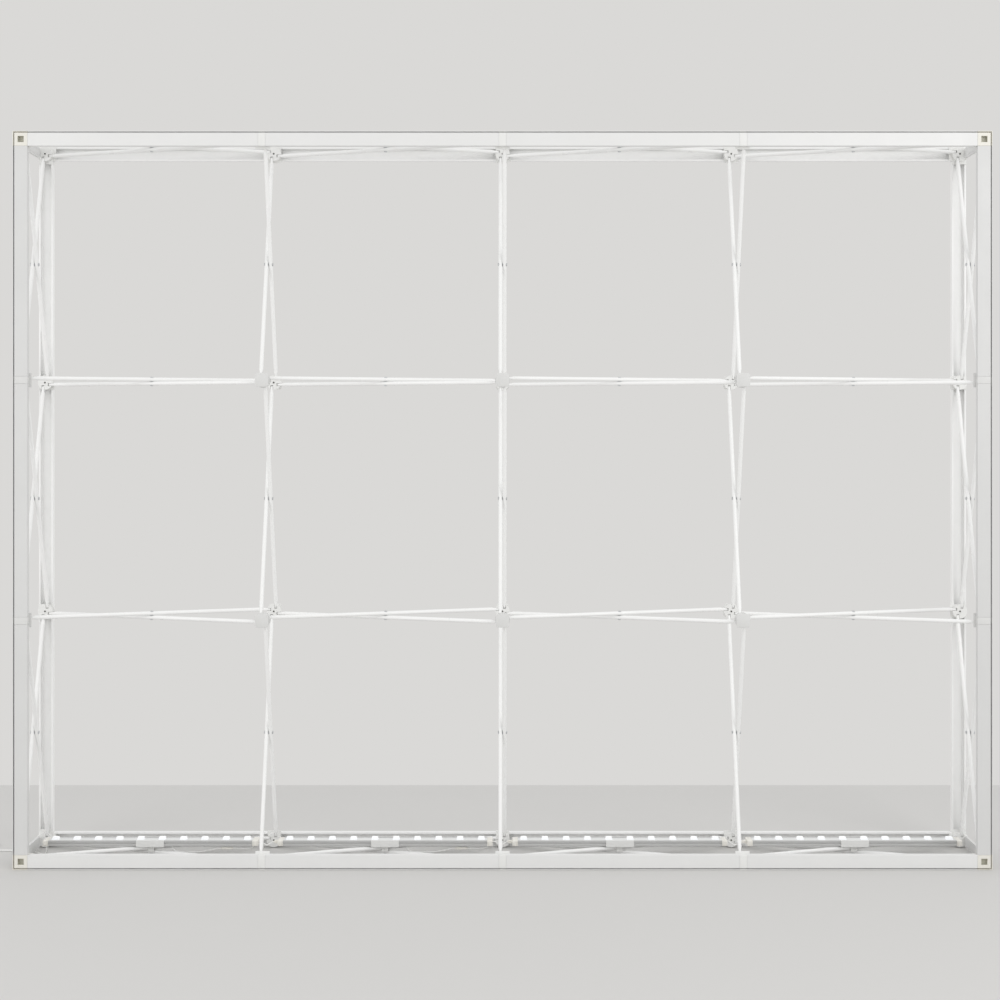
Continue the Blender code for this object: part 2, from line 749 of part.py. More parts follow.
def build_lights(metal, strip, cap, clip):
    """Four light bars, each with its strip of lenses, two end caps and a clip."""
    base = light_base()
    up = Matrix.Translation(Z * base)
    strip_up = Matrix.Translation(Z * (base + LIGHT_HEIGHT - LIGHT_TOP_STEP + GAP))
    cradle = clip_shape()
    for bay in range(BAYS_WIDE):
        number = bay + 1
        low, high = light_span(bay)
        body_low = low + LIGHT_CAP_LENGTH + GAP
        body_high = high - LIGHT_CAP_LENGTH - GAP
        place_mesh(f"light_bar_{number}", prism(light_section(), body_low, body_high, (Y, Z, X)), up, metal)
        place_mesh(f"light_strip_{number}", strip_shape(body_low, body_high), strip_up, strip)
        middle = Matrix.Translation((hub_x(bay) + BAY_LENGTH / 2, 0.0, base))
        place_mesh(f"light_clip_{number}", cradle, middle, clip)
        left = prism(cap_outline(), low, low + LIGHT_CAP_LENGTH, (Y, Z, X))
        place_mesh(f"left_end_cap_{number}", left, up, cap)
        right = moved(prism(cap_outline(), high - LIGHT_CAP_LENGTH, high, (Y, Z, X)), up)
        leads = []
        if bay + 1 < BAYS_WIDE:
            leads.extend(link_lead(bay))
        if bay < INLINE_LEADS:
            leads.extend(inline_lead(bay))
        if leads:
            right = combine(right, leads, "UNION")
        place_mesh(f"right_end_cap_{number}", right, Matrix.Identity(4), cap)


def smooth_path(route, step):
    """Points about one step apart on a smooth curve through the route's points."""
    spots = [Vector(point) for point in route]
    padded = [2 * spots[0] - spots[1], *spots, 2 * spots[-1] - spots[-2]]
    path = []
    for before, start, end, after in zip(padded, padded[1:], padded[2:], padded[3:]):
        count = max(1, round((end - start).length / step))
        for index in range(count):
            t = index / count
            path.append(
                ((2 * start) + (end - before) * t + (2 * before - 5 * start + 4 * end - after) * t**2
                 + (3 * start - before - 3 * end + after) * t**3) / 2
            )
    path.append(spots[-1])
    return path


def path_length(points):
    return sum((b - a).length for a, b in zip(points, points[1:]))


def lead_points(bay, shares):
    """A lead's points under a light bar, from its shares of half bar and of drop."""
    low, high = light_span(bay)
    middle = (low + high) / 2
    start = light_base() - GAP
    half = high - middle
    return [Vector((middle + half * a, -LEAD_FORWARD, start - LEAD_DROP * b)) for a, b in shares]


def link_lead(bay):
    """The short lead moulded into an end cap, and its plug at the next bar's cap."""
    start = light_span(bay)[1] - OVERRUN
    end = light_span(bay + 1)[0] - GAP
    level = light_base() + LIGHT_HEIGHT / 2
    half = LEAD_PLUG_HALF
    plug_face = end - LEAD_PLUG_LENGTH
    plug = block((plug_face, -half, level - half), (end, half, level + half))
    reach = plug_face + OVERRUN - start
    points = [Vector((start + reach * a, 0.0, level - LEAD_SAG * b)) for a, b in LINK_SAG_SHARES]
    return [tube_shape(smooth_path(points, LEAD_POINT_STEP), LEAD_DIAMETER, LEAD_RESOLUTION), plug]


def inline_lead(bay):
    """The slack lead under a light bar, with a connector part of the way along."""
    near = lead_points(bay, NEAR_LEAD_SHARES)
    far = lead_points(bay, FAR_LEAD_SHARES)
    far[-1].z += OVERRUN
    low = near[-1].x - OVERRUN
    high = far[0].x + OVERRUN
    body = prism(round_outline(LEAD_CONNECTOR_RADIUS, ROUND_SIDES), low, high, (Y, Z, X))
    body.transform(Matrix.Translation((0.0, near[-1].y, near[-1].z)))
    return [tube_shape(smooth_path(near, LEAD_POINT_STEP), LEAD_DIAMETER, LEAD_RESOLUTION), body,
            tube_shape(smooth_path(far, LEAD_POINT_STEP), LEAD_DIAMETER, LEAD_RESOLUTION)]


def coil_points(start, heading, length):
    """A flat two-layer coil: it spirals in, climbs a layer, and spirals out.

    It starts at a point with a straight run one diameter long, winds for the
    given length of cord, and ends in a straight tail. Its turns are whole, so
    the tail goes on the way that the cord came in.
    """
    mean = length / (2 * math.pi * COIL_TURNS)
    half = COIL_TURNS / 2
    outer = mean + COIL_TURN_GAP * half / 2
    side = Vector((heading.y, -heading.x, 0.0))
    run = start + heading * CORD_DIAMETER
    centre = run + side * outer
    first = math.atan2(run.y - centre.y, run.x - centre.x)
    count = COIL_TURNS * COIL_LOOP_POINTS
    points = [start]
    for index in range(count + 1):
        turn = index / COIL_LOOP_POINTS
        radius = outer - COIL_TURN_GAP * (half - abs(half - turn))
        climb = min(1.0, max(0.0, (turn - half) * COIL_LAYERS + 1 / 2))
        angle = first - 2 * math.pi * turn
        lift = Z * (COIL_TURN_GAP * climb)
        points.append(centre + Vector((math.cos(angle), math.sin(angle), 0.0)) * radius + lift)
    leave = Vector((math.sin(first), -math.cos(first), 0.0))
    points.append(points[-1] + leave * COIL_TAIL)
    return points, leave


def least_self_gap(points):
    """Least clear distance between parts of a tube half a loop or more apart."""
    apart = COIL_LOOP_POINTS // 2
    gaps = [(a - b).length for i, a in enumerate(points) for b in points[i + apart:]]
    return min(gaps) - CORD_DIAMETER


def mains_plug():
    """A flat two-pin plug with a tapered sleeve, pointing along its own +X."""
    sleeve = bmesh.new()
    bmesh.ops.create_cone(sleeve, cap_ends=True, segments=ROUND_SIDES, radius1=CORD_DIAMETER / 2 + GAP,
                          radius2=RELIEF_RADIUS, depth=RELIEF_LENGTH)
    sleeve.transform(Matrix.Translation(X * (GAP + RELIEF_LENGTH / 2)) @ Matrix.Rotation(math.pi / 2, 4, "Y"))
    start = GAP + RELIEF_LENGTH - OVERRUN
    end = start + MAINS_PLUG_LENGTH
    wide = MAINS_PLUG_WIDTH / 2
    narrow = RELIEF_RADIUS + OVERRUN
    shell = [(start, -narrow), (start + MAINS_PLUG_NOSE, -wide), (end, -wide), (end, wide),
             (start + MAINS_PLUG_NOSE, wide), (start, narrow)]
    body = prism(shell, -MAINS_PLUG_THICK / 2, MAINS_PLUG_THICK / 2, (X, Y, Z))
    pins = []
    for side in (-1, 1):
        outline = round_outline(MAINS_PIN_RADIUS, ROUND_SIDES)
        pin = prism(outline, end - OVERRUN, end + MAINS_PIN_LENGTH, (Y, Z, X))
        pin.transform(Matrix.Translation(Y * (side * MAINS_PIN_SPACING / 2)))
        pins.append(pin)
    return combine(body, [sleeve, *pins], "UNION")


def build_cord(material, plug_material):
    """The mains cord: boot under the first end cap, free stretch, coil and plug."""
    path = smooth_path(CORD_ROUTE, CORD_POINT_STEP)
    heading = (path[-1] - path[-2]).normalized()
    free = tube_curve("mains_cord", path, CORD_DIAMETER, CORD_RESOLUTION)
    free.data.materials.append(material)
    boot_top = light_base() - GAP
    boot = bmesh.new()
    bmesh.ops.create_cone(boot, cap_ends=True, segments=DISC_SIDES, radius1=CORD_BOOT_END_RADIUS,
                          radius2=CORD_BOOT_RADIUS, depth=CORD_BOOT_LENGTH)
    place = Matrix.Translation((path[0].x, path[0].y, boot_top - CORD_BOOT_LENGTH / 2))
    place_mesh("cord_boot", boot, place, plug_material)
    coil_length = CORD_LENGTH - path_length(path) - COIL_TAIL
    points, leave = coil_points(path[-1] + heading * GAP, heading, coil_length)
    coil = tube_curve("mains_cord_coil", points, CORD_DIAMETER, COIL_RESOLUTION)
    coil.data.materials.append(material)
    clear = least_self_gap(points)
    whole = path_length(path) + path_length(points)
    print(f"coil: least gap to itself {clear * 1000:.2f} mm, cord {whole:.3f} m")
    if clear < COIL_LEAST_GAP:
        print("coil: its turns lie too close")
    turn = Matrix.Rotation(math.atan2(leave.y, leave.x), 4, "Z")
    place_mesh("mains_plug", mains_plug(), Matrix.Translation(points[-1]) @ turn, plug_material)


def main():
    clear_scene()
    paint = finish("white_powder_coat", (0.83, 0.83, 0.82), 0.42)
    moulding = finish("white_moulding", (0.80, 0.79, 0.74), 0.55)
    strut_paint = finish("strut_grey_white", (0.74, 0.74, 0.72), 0.5)
    metal = finish("light_bar_satin", (0.58, 0.58, 0.57), 0.4, 0.3)
    lens = finish("frosted_lens", (0.95, 0.96, 0.97), 0.25)
    cap = finish("end_cap_cream", (0.84, 0.82, 0.75), 0.5)
    clip = finish("clip_white", (0.72, 0.72, 0.71), 0.5)
    rubber = finish("cord_white", (0.82, 0.82, 0.80), 0.6)
    build_rows(moulding)
    build_bars(paint)
    build_struts(strut_paint)
    build_lights(metal, lens, cap, clip)
    build_cord(rubber, moulding)


main()
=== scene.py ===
"""Dresses the pop-up lightbox wall: smooth tubes and hubs, painted channel
bars, lit lens bars and a mains cord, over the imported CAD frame.

Everything is in metres in the frame's own axes: X along the wall, Y through
its depth and away from the viewer, Z up from the floor.
"""

import logging
import math
from dataclasses import dataclass, field
from enum import Enum

import bmesh
import bpy
import numpy as np
from mathutils import Matrix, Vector
from numpy.typing import NDArray


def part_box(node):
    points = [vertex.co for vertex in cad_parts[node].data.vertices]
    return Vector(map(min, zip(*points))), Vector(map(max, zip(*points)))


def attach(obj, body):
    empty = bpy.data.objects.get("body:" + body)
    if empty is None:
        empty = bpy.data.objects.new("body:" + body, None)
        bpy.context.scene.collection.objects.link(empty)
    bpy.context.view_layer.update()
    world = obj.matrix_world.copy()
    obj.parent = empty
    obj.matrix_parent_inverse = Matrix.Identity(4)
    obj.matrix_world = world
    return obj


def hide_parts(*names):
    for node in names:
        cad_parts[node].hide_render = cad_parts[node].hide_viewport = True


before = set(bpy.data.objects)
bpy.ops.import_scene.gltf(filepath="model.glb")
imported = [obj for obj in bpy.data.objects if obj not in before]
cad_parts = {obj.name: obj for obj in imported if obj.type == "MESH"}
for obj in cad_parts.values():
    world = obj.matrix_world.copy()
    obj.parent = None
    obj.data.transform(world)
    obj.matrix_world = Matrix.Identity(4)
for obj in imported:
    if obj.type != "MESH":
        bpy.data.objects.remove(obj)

LOG = logging.getLogger("lightbox_wall")
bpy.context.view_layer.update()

Array = NDArray[np.float64]
Part = tuple[Array, list[tuple[int, ...]]]
Spot = tuple[float, float, float]
Shares = tuple[tuple[float, float], ...]
Ways = tuple[bool, bool, bool, bool]

UP = np.array((0.0, 0.0, 1.0))
ALONG = np.array((1.0, 0.0, 0.0))
DEEP = np.array((0.0, 1.0, 0.0))
QUARTER = math.pi / 2
WHOLE = 2 * math.pi
BOX_STEPS = 3
SHARP_ANGLE = math.radians(38)
BEVEL_ANGLE = math.radians(35)
WELD_REACH = 1e-5


# Finishes


def linear(hex_colour: str) -> tuple[float, float, float, float]:
    """Turn an sRGB hex colour such as "#EDEBE6" into linear RGBA.

    Args:
        hex_colour: Six hex digits after a hash sign.

    Returns:
        Red, green, blue and alpha, each from 0 to 1, in linear light.
    """
    channels = [int(hex_colour[k:k + 2], 16) / 255 for k in (1, 3, 5)]
    lit = [c / 12.92 if c <= 0.04045 else ((c + 0.055) / 1.055) ** 2.4 for c in channels]
    return (lit[0], lit[1], lit[2], 1.0)


def add_node(tree: bpy.types.NodeTree, kind: str, settings: dict[str, object] | None = None,
             links: dict[str | int, bpy.types.NodeSocket] | None = None,
             values: dict[str | int, object] | None = None) -> bpy.types.Node:
    """Add a node with its settings, its linked inputs and its constant inputs.

    Args:
        tree: The node tree to add to.
        kind: The node's type name, such as "ShaderNodeTexNoise".
        settings: Attributes of the node itself.
        links: Input name or index to the output socket that feeds it.
        values: Input name or index to its constant value.

    Returns:
        The new node.
    """
    node = tree.nodes.new(kind)
    for name, value in (settings or {}).items():
        setattr(node, name, value)
    for name, value in (values or {}).items():
        node.inputs[name].default_value = value
    for name, socket in (links or {}).items():
        tree.links.new(socket, node.inputs[name])
    return node


@dataclass(frozen=True)
class Finish:
    """A surface: its two close tones, and how rough and how grained it is.

    The pattern sizes are real ones in millimetres. Tones drift slowly over
    the piece, as on any moulded or sprayed part, and the grain is a bump.
    """

    name: str
    tone: str
    second_tone: str
    roughness: float
    tone_mm: float = 90.0
    grain_mm: float = 1.2
    bump_mm: float = 0.02
    roughness_drift: float = 0.06
    metallic: float = 0.0
    ior: float = 1.5
    coat: float = 0.0
    stretch: Spot = (1.0, 1.0, 1.0)
    glow: float = 0.0
    glow_tone: str = "#FFFFFF"

    def build(self) -> bpy.types.Material:
        """Make the material once, and give back the same one after that."""
        known = bpy.data.materials.get(self.name)
        if known is not None:
            return known
        material = bpy.data.materials.new(self.name)
        material.use_nodes = True
        tree = material.node_tree
        shader = tree.nodes["Principled BSDF"]
        plain = {"Metallic": self.metallic, "IOR": self.ior, "Coat Weight": self.coat}
        if self.glow > 0.0:
            plain |= {"Emission Color": linear(self.glow_tone), "Emission Strength": self.glow}
        for name, value in plain.items():
            shader.inputs[name].default_value = value
        place = add_node(tree, "ShaderNodeTexCoord")
        turned = add_node(tree, "ShaderNodeMapping", links={"Vector": place.outputs["Object"]},
                          values={"Scale": self.stretch})
        where = {"Vector": turned.outputs["Vector"]}
        drift = add_node(tree, "ShaderNodeTexNoise", links=where,
                         values={"Scale": 1000 / self.tone_mm, "Detail": 4.0, "Roughness": 0.55})
        grain = add_node(tree, "ShaderNodeTexNoise", links=where,
                         values={"Scale": 1000 / self.grain_mm, "Detail": 2.0})
        colour = add_node(tree, "ShaderNodeMix", {"data_type": "RGBA"}, {0: drift.outputs["Fac"]},
                          {6: linear(self.tone), 7: linear(self.second_tone)})
        rough = add_node(tree, "ShaderNodeMapRange", links={"Value": drift.outputs["Fac"]},
                         values={"From Min": 0.3, "From Max": 0.7,
                                 "To Min": self.roughness - self.roughness_drift,
                                 "To Max": self.roughness + self.roughness_drift})
        bump = add_node(tree, "ShaderNodeBump", links={"Height": grain.outputs["Fac"]},
                        values={"Strength": 0.5, "Distance": self.bump_mm / 1000})
        tree.links.new(colour.outputs[2], shader.inputs["Base Color"])
        tree.links.new(rough.outputs["Result"], shader.inputs["Roughness"])
        tree.links.new(bump.outputs["Normal"], shader.inputs["Normal"])
        return material


# Polyester powder coat on extruded aluminium: a fine orange peel in a soft satin white.
POWDER_COAT = Finish("powder_coated_aluminium", "#E9E9E8", "#E3E3E2", 0.40, grain_mm=1.6, bump_mm=0.03)
# The same coat on the front uprights, painted a shade greyer: painted shade, as the uprights catch less
# light.
UPRIGHT_COAT_PAINTED_SHADE = Finish("powder_coat_upright_painted_shade", "#DADAD9", "#D4D4D3", 0.42, grain_mm=1.6, bump_mm=0.03)
# The same coat on the back bars, painted a shade whiter: painted light that lifts the shade in their open
# channels.
BACK_COAT_PAINTED_LIGHT = Finish("powder_coated_back", "#F5F5F4", "#F0F0EF", 0.40, grain_mm=1.6, bump_mm=0.03)
# Stove enamel on drawn tube: smoother and a little glossier than the bars.
TUBE_ENAMEL = Finish("enamelled_tube", "#F6F6F5", "#F1F1F0", 0.30, grain_mm=2.5, bump_mm=0.015)
# Glass-filled nylon, spark-eroded mould texture: a matt grey-white with a fine grain.
HUB_NYLON = Finish("moulded_nylon", "#EDEDEB", "#E6E6E4", 0.52, 40.0, 0.7, 0.03)
# The same nylon on the front grid's middle rows, painted a shade greyer: painted shade, to sit with the
# uprights' painted shade.
NYLON_PAINTED_SHADE = Finish("moulded_nylon_painted_shade", "#DDDDDC", "#D8D8D6", 0.52, 40.0, 0.7, 0.03)
# ABS that has yellowed slightly, as the corner mouldings have.
CORNER_ABS = Finish("moulded_abs_cream", "#EBE9E1", "#E5E2D9", 0.48, 30.0, 0.8, 0.025)
# PVC strut plates: flat grey-white, slightly waxy.
STRUT_PVC = Finish("extruded_pvc", "#DEDEDD", "#D6D6D5", 0.46, grain_mm=3.0)
# Satin anodised extrusion: drawn lines run along the bar.
LIGHT_BAR_METAL = Finish("anodised_light_bar", "#C6C6C5", "#BEBEBD", 0.42, 60.0, 1.0, 0.01,
                         metallic=0.15, stretch=(0.04, 1.0, 1.0))
# White solder-mask board under the lenses: even and half glossy.
CIRCUIT_BOARD = Finish("white_circuit_board", "#E8E9E8", "#E0E1E0", 0.34, grain_mm=2.0, bump_mm=0.01)
# Acrylic lens with a lit chip behind it: reads as plain white light.
LIT_LENS = Finish("lit_acrylic_lens", "#B2B4B6", "#A8ABAE", 0.16, 12.0, 1.0, 0.01, coat=0.4,
                  glow=0.60, glow_tone="#FDFEFF")
# Cream ABS end caps, smooth from a polished mould.
CAP_ABS = Finish("moulded_end_cap", "#EFEDE7", "#E8E5DD", 0.42, 25.0, 0.8)
# Natural polypropylene clip: a milky white with a soft sheen.
CLIP_PP = Finish("moulded_polypropylene", "#E8E8E6", "#DEDEDC", 0.44, 30.0, 0.9)
# Soft PVC sheath: an even, slightly dull white.
CORD_PVC = Finish("soft_pvc_sheath", "#F2F2F0", "#EAEAE8", 0.45, 20.0, 1.5)
# Bright zinc plate on rivets, pins and washers: small grey glints.
ZINC = Finish("bright_zinc_plate", "#D6D8DA", "#C9CBCE", 0.34, 6.0, 0.5, 0.01, metallic=1.0)
# Nickel plate on the plug's pins: a warmer, sharper glint.
NICKEL = Finish("nickel_plate", "#D3D0C8", "#C2BEB4", 0.22, 8.0, 0.6, 0.005, metallic=1.0)
# A dark disc down each hub's centre hole, dull and dark: painted shade for the deep hole.
HOLE_PAINTED_SHADE = Finish("hub_hole_painted_shade", "#54534E", "#454440", 0.55, 5.0, 0.5)
# A rougher, greyer copy of the corner's cream inside its socket: painted shade in the recess.
SOCKET_PAINTED_SHADE = Finish("corner_socket_painted_shade", "#CBC9BC", "#B9B7A9", 0.68, 12.0, 0.8, 0.04)


# Mesh surfaces


def skin(rings: Array) -> Part:
    """Join rings of points into one closed surface.

    Row i, column j of the grid is joined to its neighbours (i + 1, j) and
    (i, j + 1), the last column to the first, and each end row is a cap.

    Args:
        rings: Points of shape (rows, columns, 3).

    Returns:
        The points as rows of a flat array, and the faces.
    """
    rows, columns = rings.shape[:2]
    row, column = np.meshgrid(np.arange(rows - 1), np.arange(columns), indexing="ij")
    after = (column + 1) % columns
    corners = [row * columns + column, row * columns + after,
               (row + 1) * columns + after, (row + 1) * columns + column]
    faces = [tuple(quad) for quad in np.stack(corners, axis=-1).reshape(-1, 4).tolist()]
    faces.append(tuple(range(columns - 1, -1, -1)))
    faces.append(tuple(range((rows - 1) * columns, rows * columns)))
    return rings.reshape(-1, 3), faces


def join(parts: list[Part]) -> Part:
    """Put several surfaces into one list of points and faces.

    Args:
        parts: The surfaces.

    Returns:
        One surface with every part's faces, renumbered.
    """
    points: list[Array] = []
    faces: list[tuple[int, ...]] = []
    base = 0
    for spots, polygons in parts:
        points.append(spots)
        faces.extend(tuple(index + base for index in polygon) for polygon in polygons)
        base += len(spots)
    return np.concatenate(points), faces


def carried(parts: list[Part], matrix: Array) -> list[Part]:
    """Copies of surfaces, turned and shifted by a 4 by 4 matrix."""
    return [(points @ matrix[:3, :3].T + matrix[:3, 3], faces) for points, faces in parts]


def moved(part: Part, place: Array | Spot) -> Part:
    """A copy of a surface, shifted by a vector."""
    return part[0] + np.asarray(place), part[1]


def frame_of(origin: Array, right: Array, back: Array, up: Array) -> Array:
    """A 4 by 4 matrix from an origin and the three directions of a local frame."""
    matrix = np.eye(4)
    matrix[:3, 0], matrix[:3, 1], matrix[:3, 2], matrix[:3, 3] = right, back, up, origin
    return matrix


def square_to(axis: Array) -> Array:
    """The wall's X, or its Y where X isn't square to the axis."""
    return ALONG if abs(axis[0]) < 0.5 else DEEP


def spread(flat: Array, across: Array, up: Array = UP) -> Array:
    """Points across * a + up * b, for each (a, b)."""
    return flat[..., :1] * across + flat[..., 1:] * up


def arc(radius: float, count: int, start: float, end: float) -> Array:
    """Points (radius cos t, radius sin t) with t from start to end."""
    turn = np.linspace(start, end, count)
    return np.stack((np.cos(turn), np.sin(turn)), axis=-1) * radius


def rounded_outline(half_a: float, half_b: float, radius: float, steps: int = BOX_STEPS) -> Array:
    """A rectangle about the origin with a quarter circle at each corner.

    A point is (sa (half_a - radius) + radius cos t, sb (half_b - radius) +
    radius sin t), with t over the quarter turn of the corner (sa, sb).

    Args:
        half_a: Half its first side.
        half_b: Half its second side.
        radius: Radius of the corners.
        steps: Steps in each quarter circle.

    Returns:
        Points (a, b) in order round the outline.
    """
    quarter = np.linspace(0, QUARTER, steps + 1)
    corners = []
    for turn, (side_a, side_b) in enumerate(((1, 1), (-1, 1), (-1, -1), (1, -1))):
        angle = quarter + turn * QUARTER
        corners.append(np.stack((side_a * (half_a - radius) + radius * np.cos(angle),
                                 side_b * (half_b - radius) + radius * np.sin(angle)), axis=-1))
    return np.concatenate(corners)


def squircle(sides: int, power: Array | float) -> Array:
    """Points (sgn cos t |cos t|^p, sgn sin t |sin t|^p) round a rounded square.

    Args:
        sides: Steps round the outline.
        power: The power p, or one for each of several outlines.

    Returns:
        Points (a, b) in order, with a row for each power.
    """
    turn = np.linspace(0, WHOLE, sides, endpoint=False)
    wave = np.stack((np.cos(turn), np.sin(turn)), axis=-1)
    return np.sign(wave) * np.abs(wave) ** np.asarray(power)[..., None, None]


def outline_prism(outline: Array, levels: Array | tuple[float, ...], along: Array,
                  shares: Array | float = 1.0) -> Part:
    """Carry an upright outline along a straight line.

    A point is across * a + up * b + along * level, where (a, b) is on the
    outline and is first scaled about the origin by that level's share.

    Args:
        outline: Points (a, b) in order round the shape.
        levels: Places along the line.
        along: Direction of the line, X or Y. The other is across.
        shares: Scale of the outline, or one for each level.

    Returns:
        The closed surface.
    """
    levels = np.asarray(levels)
    scale = np.broadcast_to(shares, levels.shape)[:, None, None]
    return skin(spread(outline, square_to(along)) * scale + levels[:, None, None] * along)


def lathe(profile: Array | Shares, sides: int, axis: Array) -> Part:
    """Turn a profile about an axis.

    A point is axis * h + (side cos t + other sin t) * r, for each (r, h) of
    the profile and each t round the circle.

    Args:
        profile: Points (radius, height) from one end to the other.
        sides: Steps round the circle.
        axis: Direction of the axis, along X, Y or Z.

    Returns:
        The closed surface, with flat ends.
    """
    spots, side = np.asarray(profile), square_to(axis)
    other = np.cross(axis, side)
    turn = np.linspace(0, WHOLE, sides, endpoint=False)
    round_about = np.cos(turn)[:, None] * side + np.sin(turn)[:, None] * other
    return skin(spots[:, :1, None] * round_about + (spots[:, 1:] * axis)[:, None])


def rounded_box(low: Array | Spot, high: Array | Spot, radius: float) -> Part:
    """A box whose edges are rounded and whose faces keep their place.

    The outline in X and Z is a rectangle with rounded corners, drawn in
    along a quarter circle at both ends of Y.

    Args:
        low: Lowest corner.
        high: Highest corner.
        radius: Radius of the rounding.

    Returns:
        The closed surface.
    """
    bottom, top = np.asarray(low), np.asarray(high)
    half = (top - bottom) / 2
    outline = rounded_outline(half[0], half[2], radius)
    inset = outline * (1 - radius / half[[0, 2]])
    bend = np.linspace(0, QUARTER, BOX_STEPS + 1)
    reach = half[1] - radius
    levels = np.concatenate((-reach - radius * np.cos(bend), reach + radius * np.sin(bend)))
    blend = np.concatenate((np.sin(bend), np.cos(bend)))
    flat = inset + (outline - inset) * blend[:, None, None]
    middle = (bottom + top) / 2
    return skin(spread(flat, ALONG) + levels[:, None, None] * DEEP + middle)


def path_length(path: Array) -> float:
    """Length along a row of points."""
    return float(np.linalg.norm(np.diff(path, axis=0), axis=1).sum())


def smooth_route(route: Array, step: float) -> Array:
    """Points about one step apart on a smooth curve through a route's points.

    Between two points the place is the Catmull-Rom cubic of the four points
    around them.

    Args:
        route: Points to pass through.
        step: Distance between the new points.

    Returns:
        The points in order, with the route's own ends.
    """
    padded = np.concatenate((2 * route[:1] - route[1:2], route, 2 * route[-1:] - route[-2:-1]))
    path = []
    for before, start, end, after in zip(padded, padded[1:], padded[2:], padded[3:]):
        count = max(1, round(float(np.linalg.norm(end - start)) / step))
        t = (np.arange(count) / count)[:, None]
        path.append((2 * start + (end - before) * t + (2 * before - 5 * start + 4 * end - after) * t ** 2
                     + (3 * start - before - 3 * end + after) * t ** 3) / 2)
    path.append(route[-1:])
    return np.concatenate(path)


def hose(path: Array, radius: float, sides: int = 16) -> Part:
    """A round tube along a path.

    At each point the circle stands square to the path, and its first
    direction is carried on from the point before with the least turn.

    Args:
        path: Centre points.
        radius: Radius of the tube.
        sides: Steps round the tube.

    Returns:
        The closed surface.
    """
    ahead = np.gradient(path, axis=0)
    ahead /= np.linalg.norm(ahead, axis=1, keepdims=True)
    side = np.cross(ahead[0], UP if abs(ahead[0] @ UP) < 0.9 else ALONG)
    firsts = []
    for direction in ahead:
        side = side - direction * (side @ direction)
        side = side / np.linalg.norm(side)
        firsts.append(side)
    first = np.array(firsts)
    turn = np.linspace(0, WHOLE, sides, endpoint=False)[:, None]
    return skin(path[:, None] + radius * (np.cos(turn) * first[:, None]
                                          + np.sin(turn) * np.cross(ahead, first)[:, None]))


class Edge(Enum):
    """How wide the rounding of a piece's edges is, in metres."""

    NONE = 0.0
    FINE = 0.0003
    SMALL = 0.0006


def dress(obj: bpy.types.Object, finish: Finish, edge: Edge, weld: bool = True) -> None:
    """Give an object its material and its rounded edges.

    Args:
        obj: The object to dress.
        finish: Its finish.
        edge: How wide its edges are rounded.
        weld: Whether its loose triangles are joined first, as a CAD node's are.
    """
    obj.data.materials.clear()
    obj.data.materials.append(finish.build())
    if weld:
        obj.modifiers.new("weld", "WELD").merge_threshold = WELD_REACH
    if edge is not Edge.NONE:
        bevel = obj.modifiers.new("rounded_edges", "BEVEL")
        bevel.width = edge.value
        bevel.segments = 2
        bevel.limit_method = "ANGLE"
        bevel.angle_limit = BEVEL_ANGLE
        bevel.harden_normals = True
        bevel.use_clamp_overlap = True


def make_piece(name: str, parts: list[Part], finish: Finish, stands_for: tuple[str, ...] = (),
               edge: Edge = Edge.NONE, body: str = "frame") -> bpy.types.Object:
    """Make one object of the wall from its surfaces.

    Args:
        name: The object's name.
        parts: Its surfaces, in the wall's own frame.
        finish: Its finish.
        stands_for: CAD nodes that it takes the place of.
        edge: How wide its edges are rounded.
        body: The body that it moves with.

    Returns:
        The new object.
    """
    points, faces = join(parts)
    mesh = bpy.data.meshes.new(name)
    mesh.from_pydata(points.tolist(), [], faces)
    shape = bmesh.new()
    shape.from_mesh(mesh)
    bmesh.ops.recalc_face_normals(shape, faces=shape.faces)
    shape.to_mesh(mesh)
    shape.free()
    mesh.shade_smooth()
    mesh.set_sharp_from_angle(angle=SHARP_ANGLE)
    obj = bpy.data.objects.new(name, mesh)
    bpy.context.scene.collection.objects.link(obj)
    dress(obj, finish, edge, weld=False)
    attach(obj, body)
    if stands_for:
        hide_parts(*stands_for)
    LOG.info("%s: %d faces", name, len(faces))
    return obj


def cad_box(node: str) -> tuple[Array, Array]:
    """Lowest and highest corner of a CAD node."""
    low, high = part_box(node)
    return np.array(low), np.array(high)


# The wall's sizes


@dataclass(frozen=True)
class WallSizes:
    """The grid that everything hangs on, as in the CAD frame."""

    bays_wide: int = 4
    bays_high: int = 3
    pitch: float = 0.738
    depth: float = 0.300
    edge_out: float = 0.025
    edge_in: float = 0.0205
    gap: float = 0.0003

    def hub_x(self, column: int) -> float:
        """Place of a hub column along X."""
        return (column - self.bays_wide / 2) * self.pitch

    def hub_z(self, row: int) -> float:
        """Height of a hub row."""
        return self.edge_out + row * self.pitch

    def hub_frame(self, column: int, row: int, at_front: bool) -> Array:
        """A hub's own frame: X right, Y away from its face, Z up.

        Args:
            column: Which hub column, from the left.
            row: Which hub row, from the floor.
            at_front: Whether it is in the front grid.

        Returns:
            A 4 by 4 matrix. A back hub is a front hub turned half round.
        """
        side = -1.0 if at_front else 1.0
        origin = np.array((self.hub_x(column), side * self.depth / 2, self.hub_z(row)))
        return frame_of(origin, -side * ALONG, -side * DEEP, UP)


WALL = WallSizes()


# Hubs


